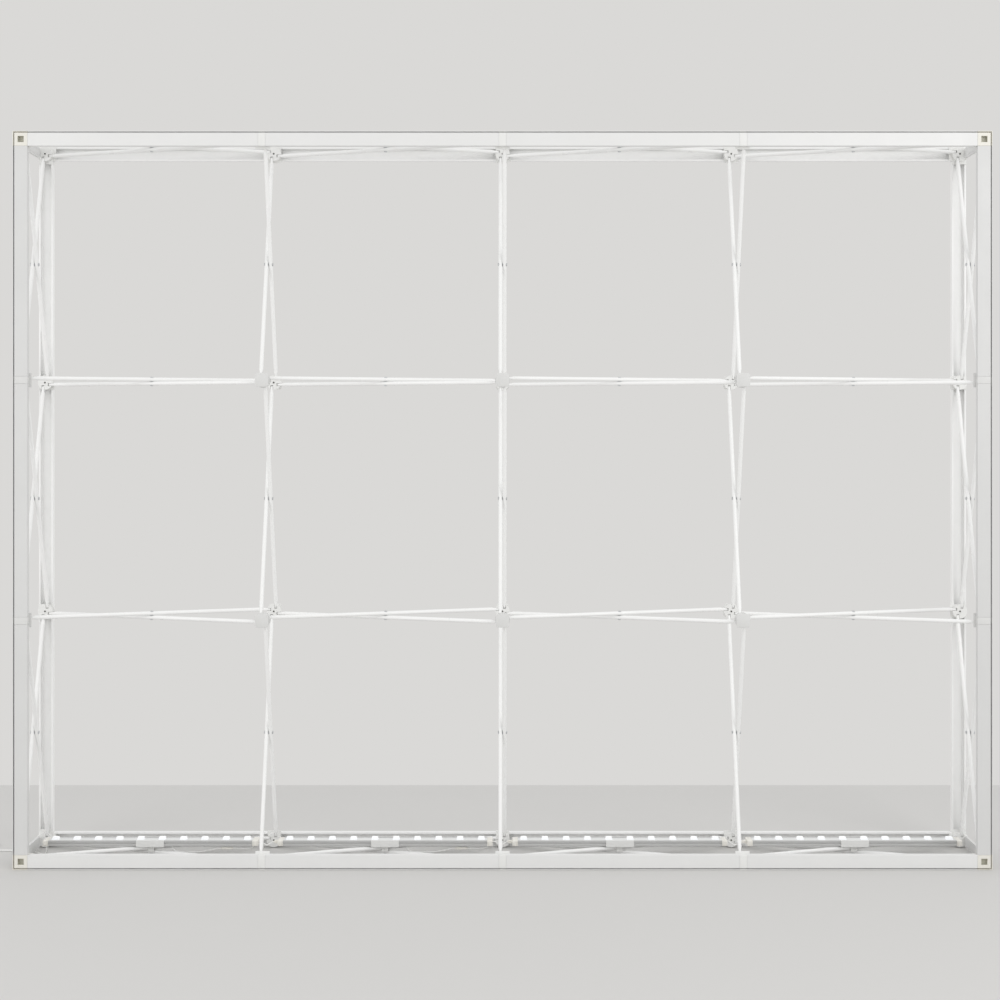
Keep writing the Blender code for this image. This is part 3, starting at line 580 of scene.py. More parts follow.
@dataclass
class Hub:
    """One moulded hub: face, neck, drum with four slots, and its centre boss."""

    drum_radius: float = 0.023
    drum_start: float = 0.0203
    drum_end: float = 0.0385
    slot_floor: float = 0.024
    slot_inner: float = 0.009
    slot_low: float = 0.0022
    slot_high: float = 0.0108
    drum_edge: float = 0.0006
    boss_radius: float = 0.0052
    boss_height: float = 0.0008
    hole_radius: float = 0.0030
    neck_radius: float = 0.016
    hair: float = 0.0002
    plate_half: float = 0.0208
    plate_chamfer: float = 0.005
    plate_thick: float = 0.004
    bar_end_half: float = 0.011
    ledge_thick: float = 0.003
    ledge_reach: float = 0.011
    ledge_rise: float = 0.007
    lip_thick: float = 0.002
    groove_width: float = 0.0035
    groove_depth: float = 0.012
    socket_half: float = 0.00925
    socket_depth: float = 0.012
    liner_thick: float = 0.0003
    liner_start: float = 0.0014
    cheek_thick: float = 0.014
    ear_thick: float = 0.0023
    ear_half: float = 0.009
    strut_height: float = 0.033
    strut_level: float = -0.002
    edge: float = 0.0005
    plate_edge: float = 0.0007
    fillet: float = 0.003
    rib_reach: float = 0.0025
    rib_half: float = 0.001
    rib_offset: float = 0.0005
    pin_radius: float = 0.0030
    pin_end_radius: float = 0.0026

    def drum_outline(self, ways: Ways) -> Array:
        """The drum's outline, with a slot on each side that has a tube.

        Round the circle, each quarter turn has one slot, cut in from the rim
        to slot_inner between slot_low and slot_high, then an arc to the next.

        Args:
            ways: Whether a tube leaves to the right, up, left and down.

        Returns:
            Points (a, b), anticlockwise.
        """
        radius = self.drum_radius
        start, end = math.asin(self.slot_low / radius), math.asin(self.slot_high / radius)
        slot = np.array(((radius * math.cos(start), self.slot_low), (self.slot_inner, self.slot_low),
                         (self.slot_inner, self.slot_high), (radius * math.cos(end), self.slot_high)))
        rim = arc(radius, 12, end, start + QUARTER)[1:-1]
        pieces = []
        for quarter, has_slot in enumerate(ways):
            turn = quarter * QUARTER
            spin = np.array(((math.cos(turn), math.sin(turn)), (-math.sin(turn), math.cos(turn))))
            pieces.append(np.concatenate((slot if has_slot else arc(radius, 5, start, end), rim)) @ spin)
        return np.concatenate(pieces)

    def drum(self, ways: Ways) -> list[Part]:
        """The round drum: a full disc behind and the slotted part in front of it."""
        rim = self.drum_radius - self.hair
        disc = lathe(((rim - self.drum_edge, self.drum_start + self.hair),
                      (rim, self.drum_start + self.drum_edge), (rim, self.slot_floor)), 48, DEEP)
        levels = (self.slot_floor - self.drum_edge, self.drum_end)
        return [disc, outline_prism(self.drum_outline(ways), levels, DEEP)]

    def boss(self) -> Part:
        """The raised ring round the centre screw's hole, turned from its profile."""
        r, h, top, hole = self.boss_radius, self.boss_height, self.drum_end, self.hole_radius
        edge = h / 3
        return lathe(((r, top - h), (r, top + h - edge), (r - edge, top + h), (hole + edge, top + h),
                      (hole, top + h - edge), (hole, top + edge / 4)), 32, DEEP)

    def hole_shade_disc(self) -> Part:
        """A dark disc just inside the boss's hole, a short turned disc: painted shade for the deep hole."""
        top = self.drum_end + self.boss_height / 3
        radius = self.hole_radius - self.hair
        return lathe(((radius, top - self.boss_height), (radius, top)), 24, DEEP)

    def socket_shade_liner(self) -> Part:
        """A thin cup over the floor and walls inside a corner's socket, darker: painted shade in the recess.
        """
        thin, depth, start = self.liner_thick, self.socket_depth, self.liner_start
        wall, root = self.socket_half - thin, self.socket_half + thin
        return self._cup(((wall, wall, depth - thin, thin), (wall, wall, start, thin),
                          (root, root, start, thin), (root, root, depth + thin, thin)))

    def inner_face(self) -> list[Part]:
        """The chamfered plate, the neck and the ribs of a hub inside the grid.

        The plate's outline is a square with its corners cut, drawn in at both
        levels by a share that rounds its edges. The neck is turned, and flares
        to the plate in a quarter circle.
        """
        half, near = self.plate_half, self.plate_half - self.plate_chamfer
        thick, edge, neck = self.plate_thick, self.plate_edge, self.neck_radius
        outline = np.array(((half, -near), (half, near), (near, half), (-near, half),
                            (-half, near), (-half, -near), (-near, -half), (near, -half)))
        shares = np.array((1 - edge / half, 1 - edge * 0.3 / half, 1.0, 1.0, 1 - edge / half))
        plate = outline_prism(outline, (0.0, edge * 0.3, edge, thick - edge, thick), DEEP, shares)
        bend = np.linspace(0, QUARTER, 6)
        flare = np.stack((neck + self.fillet * (1 - np.sin(bend)),
                          thick + self.fillet * (1 - np.cos(bend))), axis=-1)
        shaft = np.concatenate((flare, ((neck, self.drum_start + self.drum_edge),)))
        ribs = [rounded_box((place - self.rib_reach, thick / 2, -self.rib_half),
                            (place + self.rib_reach, self.drum_start + 0.001, self.rib_half), 0.0004)
                for place in (-neck - self.rib_offset, neck + self.rib_offset)]
        return [plate, lathe(shaft, 40, DEEP), *ribs]

    def edge_face(self) -> list[Part]:
        """The face of a hub on the frame's edge, with that edge downwards.

        Its rounded boxes carry the bars' groove on across the gap between two
        bars.
        """
        half, out, inner = self.bar_end_half, WALL.edge_out, WALL.edge_in
        groove_out, groove_in, back = self._groove()
        edge, hair, wing = self.edge, self.hair, half + self.ledge_reach
        return [rounded_box(*row) for row in (
            ((-half, 0.0, -groove_in), (half, back - hair, inner), edge),
            ((-half, 0.0, -out), (half, back - hair, -groove_out), edge),
            ((hair - half, self.groove_depth, -groove_out - edge),
             (half - hair, back - 2 * hair, -groove_in + edge), edge / 2),
            ((-wing, self.drum_start, hair - out), (wing, back, inner + self.ledge_rise), edge))]

    def corner_face(self) -> list[Part]:
        """The face of a corner hub, with the frame's corner at low X and low Z.

        The block with the square socket is one skin: from the socket's floor
        up its walls, across the face, and down the outside. The lips, groove
        floors and ledges round it are rounded boxes, each a hair off the next.
        """
        out, inner, s = WALL.edge_out, WALL.edge_in, self.socket_half
        groove_out, groove_in, back = self._groove()
        edge, hair, wing = self.edge, self.hair, inner + self.ledge_reach
        block = self._cup(((s, s, self.socket_depth, 0.0006), (s, s, edge * 1.6, 0.0006),
                           (s + edge, s + edge, 0.0, 0.001), (groove_in - edge, inner - edge, 0.0, 0.0008),
                           (groove_in, inner, edge, 0.0012), (groove_in, inner, back - 4 * hair, 0.0012)))
        return [block, *(rounded_box(*row) for row in (
            ((-out, 0.0, -out), (inner - hair, back - 2 * hair, -groove_out), edge),
            ((hair - out, hair, hair - out), (-groove_out - hair, back - 3 * hair, inner - hair), edge),
            ((2 * hair - out, self.groove_depth, -groove_out - edge),
             (inner - 2 * hair, back - 5 * hair, -groove_in + edge), edge / 2),
            ((-groove_out - edge, self.groove_depth + hair, 2 * hair - out),
             (-groove_in + edge, back - 6 * hair, inner - 2 * hair), edge / 2),
            ((3 * hair - out, self.drum_start, 3 * hair - out), (wing, back, inner), edge),
            ((4 * hair - out, self.drum_start + hair, 4 * hair - out),
             (inner - hair, back - hair, wing), edge)))]

    def _groove(self) -> tuple[float, float, float]:
        """The fabric groove's outer and inner side, and the ledge's back."""
        groove_out = WALL.edge_out - self.lip_thick
        return groove_out, groove_out - self.groove_width, self.drum_start + self.ledge_thick

    @staticmethod
    def _cup(steps: tuple[tuple[float, float, float, float], ...]) -> Part:
        """One skin through rounded squares, each from -low to high both ways.

        Args:
            steps: Each square's low, high, depth and corner radius.

        Returns:
            The closed surface.
        """
        rings = []
        for low, high, level, radius in steps:
            half = (low + high) / 2
            flat = rounded_outline(half, half, radius) + (high - low) / 2
            rings.append(spread(flat, ALONG) + level * DEEP)
        return skin(np.array(rings))

    def _strut_place(self, at_right: bool, at_top: bool) -> tuple[float, float, float]:
        """Which side a corner's strut is on, its level, and its pin's depth."""
        level = -self.strut_level if at_top else self.strut_level
        return 1.0 if at_right else -1.0, level, self.drum_end + WALL.gap + self.strut_height / 2

    def strut_seat(self, at_right: bool, at_top: bool) -> list[Part]:
        """The cheek and the ear of a corner hub, in the hub's own frame.

        The ear is a flat plate whose outline ends in a half circle.

        Args:
            at_right: Whether the frame's outer side is to the hub's right.
            at_top: Whether the frame's outer side is above the hub.

        Returns:
            Their surfaces.
        """
        side, level, pin_depth = self._strut_place(at_right, at_top)
        half, out, root = self.strut_height / 2, WALL.edge_out, self.drum_end - 0.002
        low, high = sorted((side * (out - self.hair), side * (out - self.cheek_thick)))
        cheek = rounded_box((low, self.drum_start + 2 * self.hair, level - half),
                            (high, self.drum_end - self.hair, level + half), 0.0006)
        nose = arc(self.ear_half, 17, -QUARTER, QUARTER) + (pin_depth, level)
        outline = np.concatenate((((root, level - half),), nose, ((root, level + half),)))
        levels = sorted((side * (out - 0.0001), side * (out - self.ear_thick)))
        return [cheek, outline_prism(outline, np.array(levels), ALONG)]

    def pin_end(self, at_right: bool, at_top: bool) -> Part:
        """The end of the strut's pin, seen in the ear: a short turned rod."""
        side, level, pin_depth = self._strut_place(at_right, at_top)
        out, r = WALL.edge_out, self.pin_radius
        rod = lathe(((r, out - self.ear_thick / 2), (r, out - 0.0003), (self.pin_end_radius, out)),
                    24, side * ALONG)
        return moved(rod, (0.0, pin_depth, level))


# Tubes


@dataclass
class ScissorTube:
    """A drawn tube whose two ends are pressed flat to lie in the hubs' slots."""

    radius: float = 0.00635
    tongue_half: float = 0.0040
    tongue_back: float = 0.0055
    tongue_front: float = 0.0110
    tip_length: float = 0.0063
    tip_share: float = 0.35
    tip_places: tuple[float, ...] = (0.0, 0.0004, 0.0012, 0.0026, 0.0045, 0.0063)
    taper: float = 0.0100
    pressed_power: float = 0.45
    sides: int = 24

    def surface(self, start: Array, end: Array, pin_axis: Array) -> Part:
        """The tube between two pivots.

        Across the tube a point is (w sgn cos |cos|^p, t sgn sin |sin|^p): p is 1
        where the tube is round and smaller where it is pressed. Half-thickness t
        eases from tongue_half to radius over the taper, and the half-width w
        follows a quarter circle at the tongue's round end.

        Args:
            start: First pivot.
            end: Second pivot.
            pin_axis: Direction of the pivot pins, square to the tube.

        Returns:
            The closed surface.
        """
        length = float(np.linalg.norm(end - start))
        ahead = (end - start) / length
        wide = np.cross(ahead, pin_axis)
        eased = np.linspace(self.tongue_front, self.tongue_front + self.taper, 6)
        first = np.concatenate((np.array(self.tip_places) - self.tongue_back, eased))
        places = np.concatenate((first, length - first[::-1]))
        nearest = np.minimum(places, length - places)
        inward = nearest + self.tongue_back
        tip = np.clip(inward / self.tip_length, 0.0, 1.0)
        width = self.radius * (self.tip_share + (1 - self.tip_share) * np.sqrt(1 - (1 - tip) ** 2))
        press = np.clip((nearest - self.tongue_front) / self.taper, 0.0, 1.0)
        press = press * press * (3 - 2 * press)
        thick = self.tongue_half + (self.radius - self.tongue_half) * press
        thick = thick * np.clip(0.8 + inward / 0.004, 0.0, 1.0)
        section = squircle(self.sides, self.pressed_power + (1 - self.pressed_power) * press)
        section = section * np.stack((width, thick), axis=-1)[:, None]
        return skin(start + places[:, None, None] * ahead + spread(section, wide, pin_axis))


@dataclass
class ScissorFrame:
    """All the hubs, tubes, pivot pins and rivets, row by row."""

    hub: Hub = field(default_factory=Hub)
    tube: ScissorTube = field(default_factory=ScissorTube)
    pivot_reach: float = 0.016
    pivot_depth: float = 0.0315
    tube_offset: float = 0.0065
    pin_radius: float = 0.0016
    pin_half: float = 0.0062
    pin_edge: float = 0.0003
    rivet_radius: float = 0.0055
    rivet_height: float = 0.0020
    rivet_sink: float = 0.0004
    washer_radius: float = 0.0062
    washer_half: float = 0.00025

    def pivot_y(self, at_front: bool) -> float:
        """Depth of the pivots behind the front face or before the back one."""
        reach = WALL.depth / 2 - self.pivot_depth
        return -reach if at_front else reach

    def runs(self, row: int) -> list[tuple[Array, Array, Array]]:
        """Start, end and pin axis of each tube of a row: the flat ones, then the rising ones."""
        found, reach = [], self.pivot_reach
        sides = ((True, self.tube_offset), (False, -self.tube_offset))
        for column in range(WALL.bays_wide):
            low, high = WALL.hub_x(column) + reach, WALL.hub_x(column + 1) - reach
            for front, offset in sides:
                level = WALL.hub_z(row) + offset
                found.append((np.array((low, self.pivot_y(front), level)),
                              np.array((high, self.pivot_y(not front), level)), UP))
        if row < WALL.bays_high:
            low, high = WALL.hub_z(row) + reach, WALL.hub_z(row + 1) - reach
            for column in range(WALL.bays_wide + 1):
                for front, offset in sides:
                    side = WALL.hub_x(column) - offset
                    found.append((np.array((side, self.pivot_y(front), low)),
                                  np.array((side, self.pivot_y(not front), high)), ALONG))
        return found

    def pin(self, place: Array, axis: Array) -> Part:
        """A pivot pin through a tongue: a rod turned about its axis."""
        r, h, edge = self.pin_radius, self.pin_half, self.pin_edge
        rod = ((r - edge, -h), (r, edge - h), (r, h - edge), (r - edge, h))
        return moved(lathe(rod, 16, axis), place)

    def rivet(self, place: Array, axis: Array, top_head: bool) -> list[Part]:
        """The rivet of a crossing: the washer between the tubes and two domed heads.

        A head's profile is a quarter ellipse on a short rim.

        Args:
            place: Middle of the crossing.
            axis: Direction of the rivet.
            top_head: Whether there is room for the head on the axis's side.

        Returns:
            Its surfaces.
        """
        r, half = self.washer_radius, self.washer_half
        seat = self.tube_offset + self.tube.radius - self.rivet_sink
        bend = np.linspace(0, QUARTER, 7)[:-1]
        dome = np.stack((self.rivet_radius * np.cos(bend),
                         seat + self.rivet_sink + self.rivet_height * np.sin(bend)), axis=-1)
        head = np.concatenate((((self.rivet_radius, seat - 0.001),), dome))
        shapes = [lathe(((r, -half), (r, half)), 24, axis), lathe(head, 24, -axis)]
        if top_head:
            shapes.append(lathe(head, 24, axis))
        return [moved(shape, place) for shape in shapes]

    def hub_kinds(self, row: int) -> dict[str, list[Part]]:
        """The surfaces of a row's hubs, sorted by what they are made of and by their painted shade."""
        kinds: dict[str, list[Part]] = {"nylon": [], "painted_shade": [], "cream": [], "hole_shade": [], "socket": []}
        up, down = row < WALL.bays_high, row > 0
        for at_front in (True, False):
            for column in range(WALL.bays_wide + 1):
                place = WALL.hub_frame(column, row, at_front)
                low_x, high_x = column > 0, column < WALL.bays_wide
                right, left = (high_x, low_x) if at_front else (low_x, high_x)
                ways = (right, up, left, down)
                corner = ways.count(False) == 2
                body = self.hub.drum(ways) + [self.hub.boss()]
                if all(ways):
                    body += self.hub.inner_face()
                elif corner:
                    turn = self._turn_to((0 if right else 1) if not down else (3 if right else 2))
                    body += carried(self.hub.corner_face(), turn)
                    # A darker cup inside the corner's socket: painted shade.
                    kinds["socket"] += carried([self.hub.socket_shade_liner()], place)
                    body += self.hub.strut_seat(not right, not up)
                else:
                    turn = self._turn_to((ways.index(False) + 1) % 4)
                    body += carried(self.hub.edge_face(), turn)
                # The front hubs of the middle rows take the nylon's painted shade.
                front_kind = "cream" if corner else "painted_shade" if up and down else "nylon"
                kind = front_kind if at_front else "nylon"
                kinds[kind] += carried(body, place)
                # A dark disc in each centre hole: painted shade.
                kinds["hole_shade"] += carried([self.hub.hole_shade_disc()], place)
        return kinds

    @staticmethod
    def _turn_to(quarters: int) -> Array:
        """A turn about the hub's axis that carries right to up in each quarter."""
        angle = quarters * QUARTER
        cos, sin = math.cos(angle), math.sin(angle)
        return frame_of(np.zeros(3), cos * ALONG + sin * UP, DEEP, cos * UP - sin * ALONG)

    def metal(self, row: int, runs: list[tuple[Array, Array, Array]]) -> list[Part]:
        """A row's pivot pins, its rivets and, at the corners, the ends of the struts' pins."""
        parts = [self.pin(end, run[2]) for run in runs for end in run[:2]]
        for column in range(WALL.bays_wide):
            middle = np.array((WALL.hub_x(column) + WALL.pitch / 2, 0.0, WALL.hub_z(row)))
            parts += self.rivet(middle, UP, top_head=row > 0)
        if row < WALL.bays_high:
            for column in range(WALL.bays_wide + 1):
                middle = np.array((WALL.hub_x(column), 0.0, WALL.hub_z(row) + WALL.pitch / 2))
                parts += self.rivet(middle, ALONG, top_head=True)
        if row in (0, WALL.bays_high):
            for column in (0, WALL.bays_wide):
                place = WALL.hub_frame(column, row, at_front=False)
                parts += carried([self.hub.pin_end(column == 0, row > 0)], place)
        return parts

    def build(self) -> None:
        """Make every row's pieces and let them stand for the CAD rows."""
        for row in range(WALL.bays_high + 1):
            number = row + 1
            node, runs, kinds = (f"scissor_row_{number}",), self.runs(row), self.hub_kinds(row)
            make_piece(f"tubes_{number}", [self.tube.surface(*run) for run in runs], TUBE_ENAMEL, node)
            for name, kind, finish in (("hubs", "nylon", HUB_NYLON), ("front_hubs_painted_shade", "painted_shade", NYLON_PAINTED_SHADE),
                                       ("corner_hubs", "cream", CORNER_ABS)):
                if kinds[kind]:
                    make_piece(f"{name}_{number}", kinds[kind], finish, node, Edge.FINE)
            if kinds["socket"]:
                make_piece(f"corner_socket_shades_{number}", kinds["socket"], SOCKET_PAINTED_SHADE)
            make_piece(f"hub_hole_shades_{number}", kinds["hole_shade"], HOLE_PAINTED_SHADE)
            make_piece(f"pins_{number}", self.metal(row, runs), ZINC)


# Bars, struts, lights


@dataclass
class ChannelBars:
    """The extruded channel bars, which keep their CAD shape."""

    edge: Edge = Edge.SMALL

    def build(self) -> None:
        """Give every bar its powder coat and rounded edges."""
        for name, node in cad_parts.items():
            if "_bar_" in name and not name.startswith("light"):
                # The front uprights take a greyer copy of the coat: painted shade.
                upright = name.startswith(("front_left_", "front_right_"))
                # The back bars take a whiter copy of the coat: painted light.
                coat = BACK_COAT_PAINTED_LIGHT if name.startswith("back_") else POWDER_COAT
                dress(node, UPRIGHT_COAT_PAINTED_SHADE if upright else coat, self.edge)
                LOG.info("%s: dressed", name)


@dataclass
class CornerStruts:
    """The four plates that lock the corners, with two ribs on each one's face."""

    rib_inset: float = 0.020
    rib_half: float = 0.0011
    rib_rise: float = 0.0005
    rib_root: float = 0.0003
    rib_offset: float = 0.009

    def build(self) -> None:
        """Dress the plates and add the moulded ribs, which are rounded boxes."""
        for name in ("lower_left_strut", "lower_right_strut", "upper_left_strut", "upper_right_strut"):
            dress(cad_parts[name], STRUT_PVC, Edge.SMALL)
            low, high = cad_box(name)
            face, out = (low[0], -1) if "right" in name else (high[0], 1)
            near, far = sorted((face - out * self.rib_root, face + out * self.rib_rise))
            middle = (low[2] + high[2]) / 2
            ribs = [rounded_box((near, low[1] + self.rib_inset, height - self.rib_half),
                                (far, high[1] - self.rib_inset, height + self.rib_half), self.rib_root)
                    for height in (middle - self.rib_offset, middle + self.rib_offset)]
            make_piece(f"{name}_ribs", ribs, STRUT_PVC, body=f"{name}_body")


@dataclass
class LightBars:
    """Four extruded bars with lit lenses, end caps, clips and their leads."""

    count: int = 4
    lens_count: int = 10
    lens_end: float = 0.0183
    lens_half: float = 0.0110
    lens_top_half: float = 0.0086
    lens_height: float = 0.0078
    lens_foot: float = 0.0006
    lens_edge: float = 0.0008
    lens_power: float = 0.15
    board_thick: float = 0.0012
    board_half: float = 0.0167
    cap_length: float = 0.017
    cap_edge: float = 0.0016
    end_gap: float = 0.031
    lead_radius: float = 0.002
    plug_length: float = 0.012
    plug_half: float = 0.0045
    sag: float = 0.011
    drop: float = 0.020
    forward: float = 0.015
    connector_radius: float = 0.0045
    inline_leads: int = 2
    link_shares: Shares = (
        (0.0, 0.0), (0.12, 0.0), (0.3, 0.55), (0.5, 1.0), (0.7, 0.55), (0.88, 0.0), (1.0, 0.0))
    near_shares: Shares = (
        (0.20, 0.0), (0.20, 0.12), (0.206, 0.5), (0.24, 0.88), (0.31, 1.0), (0.42, 0.98), (0.52, 0.80),
        (0.60, 0.48), (0.635, 0.40), (0.65, 0.40))
    far_shares: Shares = (
        (0.77, 0.40), (0.785, 0.40), (0.85, 0.44), (0.91, 0.38), (0.945, 0.22), (0.955, 0.08), (0.955, 0.0))

    def lens(self, place: Array) -> Part:
        """One lens: a square that narrows upwards to a softly domed top.

        A point is (r sgn cos |cos|^p, r sgn sin |sin|^p) across, where the
        reach r and the height follow a quarter circle at the top edge.

        Args:
            place: Middle of its underside.

        Returns:
            The closed surface.
        """
        foot, edge = self.lens_foot, self.lens_edge
        crown = arc(edge, 7, 0.0, QUARTER) + (self.lens_top_half + foot - edge, self.lens_height - edge)
        profile = np.concatenate((((self.lens_half, 0.0), (self.lens_half, foot)), crown))
        square = spread(squircle(40, self.lens_power), ALONG, DEEP)
        return skin(profile[:, :1, None] * square + profile[:, 1:, None] * UP + place)

    def cap(self, low: Array, high: Array, outer_is_high: bool) -> list[Part]:
        """An end cap: a rounded outline carried along X, with a shallow step.

        The outline's share dips for the step near the inner end, and follows
        a quarter circle at the outer end.

        Args:
            low: Lowest corner of the CAD cap.
            high: Highest corner of the CAD cap.
            outer_is_high: Whether its outer face is at high X.

        Returns:
            Its surfaces.
        """
        half, edge = (high - low) / 2, self.cap_edge
        outline = rounded_outline(half[1], half[2], edge * 1.4, 4)
        bend = np.linspace(0, QUARTER, 5)
        outer = np.stack((half[0] - edge + edge * np.sin(bend),
                          1 - (1 - np.cos(bend)) * edge / half[2]), axis=-1)
        inner = np.array(((0.0, 1.0), (0.0030, 1.0), (0.0033, 0.965), (0.0043, 0.965), (0.0046, 1.0)))
        profile = np.concatenate((inner - (half[0], 0.0), outer))
        levels = profile[:, 0] * (1.0 if outer_is_high else -1.0)
        block = outline_prism(outline, levels, ALONG, profile[:, 1])
        points, faces = moved(block, (low + high) / 2)
        return [(points, faces if outer_is_high else [face[::-1] for face in faces])]

    def connector(self, start: Array, end: Array) -> list[Part]:
        """The two halves of an in-line connector, turned, with a groove where they meet.

        Args:
            start: Middle of its near end.
            end: Middle of its far end.

        Returns:
            Its surfaces.
        """
        r = self.connector_radius
        length = float(np.linalg.norm(end - start))
        half = length / 2
        near = np.array(((0.0026, 0.0), (0.0030, 0.0004), (0.0036, 0.0050), (r - 0.0004, 0.0056), (r, 0.0062),
                         (r, half - 0.0008), (r - 0.0007, half - 0.0006)))
        far = np.stack((near[::-1, 0], length - near[::-1, 1]), axis=-1)
        return [moved(lathe(np.concatenate((near, far)), 24, ALONG), start)]

    @staticmethod
    def piece(name: str, number: int, parts: list[Part], finish: Finish,
              stands_for: tuple[str, ...] = (), slot: str = "end_cap_cream") -> bpy.types.Object:
        """Make a piece that moves with the numbered bar."""
        return make_piece(f"{name}_{number}", parts, finish, stands_for, Edge.NONE,
                          f"light_{number}_body")

    def lead(self, name: str, number: int, path: Array) -> bpy.types.Object:
        """A round lead along a path."""
        return self.piece(name, number, [hose(path, self.lead_radius)], CORD_PVC)

    def link(self, number: int, start: float, end: float, level: float) -> None:
        """The short lead from a bar's end cap to its plug at the next bar.

        Args:
            number: Which bar it leaves.
            start: Where the cap ends.
            end: Where the next bar's cap starts.
            level: Height of its ends.
        """
        half, plug_face = self.plug_half, end - WALL.gap - self.plug_length
        spots = np.array(self.link_shares)
        route = np.stack((start + (plug_face + 0.002 - start) * spots[:, 0], np.zeros(len(spots)),
                          level - self.sag * spots[:, 1]), axis=-1)
        path = smooth_route(route, 0.002)
        plug = rounded_box((plug_face, -half, level - half), (end - WALL.gap, half, level + half), 0.0009)
        collar = lathe(((0.0024, -0.004), (0.0032, 0.0), (0.0032, 0.0006)), 20, ALONG)
        lead = self.lead("link_lead", number, path)
        end_plug = self.piece("link_plug", number, [plug, moved(collar, (plug_face, 0.0, level))], CAP_ABS)

    def slack_leads(self, number: int, low: float, high: float, base: float) -> None:
        """A slack lead below a bar: its near part, the connector and its far part.

        Args:
            number: Which bar it hangs from.
            low: Where the bar starts.
            high: Where the bar ends.
            base: Height of the bar's underside.
        """
        middle, half = (low + high) / 2, (high - low) / 2
        near, away = (smooth_route(
            np.stack((middle + half * spots[:, 0], np.full(len(spots), -self.forward),
                      base - WALL.gap - self.drop * spots[:, 1]), axis=-1), 0.003)
            for spots in (np.array(self.near_shares), np.array(self.far_shares)))
        joint = self.piece("inline_connector", number, self.connector(near[-1], away[0]), CAP_ABS)
        for side, path in (("near", near), ("far", away[::-1])):
            self.lead(f"inline_lead_{side}", number, path)

    def build(self) -> None:
        """Make every bar's pieces."""
        for number in range(1, self.count + 1):
            strip = (f"light_strip_{number}",)
            dress(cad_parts[f"light_bar_{number}"], LIGHT_BAR_METAL, Edge.SMALL)
            dress(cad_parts[f"light_clip_{number}"], CLIP_PP, Edge.SMALL)
            low, high = cad_box(strip[0])
            board = rounded_box((low[0], -self.board_half, low[2]),
                                (high[0], self.board_half, low[2] + self.board_thick), 0.0003)
            self.piece("board", number, [board], CIRCUIT_BOARD, strip, "frosted_lens")
            places = np.linspace(low[0] + self.lens_end, high[0] - self.lens_end, self.lens_count)
            lenses = [self.lens(np.array((x, 0.0, low[2] + self.board_thick * 0.5))) for x in places]
            self.piece("lenses", number, lenses, LIT_LENS, strip, "frosted_lens")
            low, high = cad_box(f"left_end_cap_{number}")
            far = WALL.hub_x(number) - self.end_gap
            for side, cap in (("left", self.cap(low, high, outer_is_high=False)),
                              ("right", self.cap(np.array((far - self.cap_length, *low[1:])),
                                                 np.array((far, *high[1:])), outer_is_high=True))):
                self.piece(f"{side}_cap", number, cap, CAP_ABS, (f"{side}_end_cap_{number}",))
            if number < self.count:
                self.link(number, far, WALL.hub_x(number) + self.end_gap, (low[2] + high[2]) / 2)
            if number <= self.inline_leads:
                self.slack_leads(number, low[0], far, low[2])
            LOG.info("light bar %d: built", number)


# Mains cord


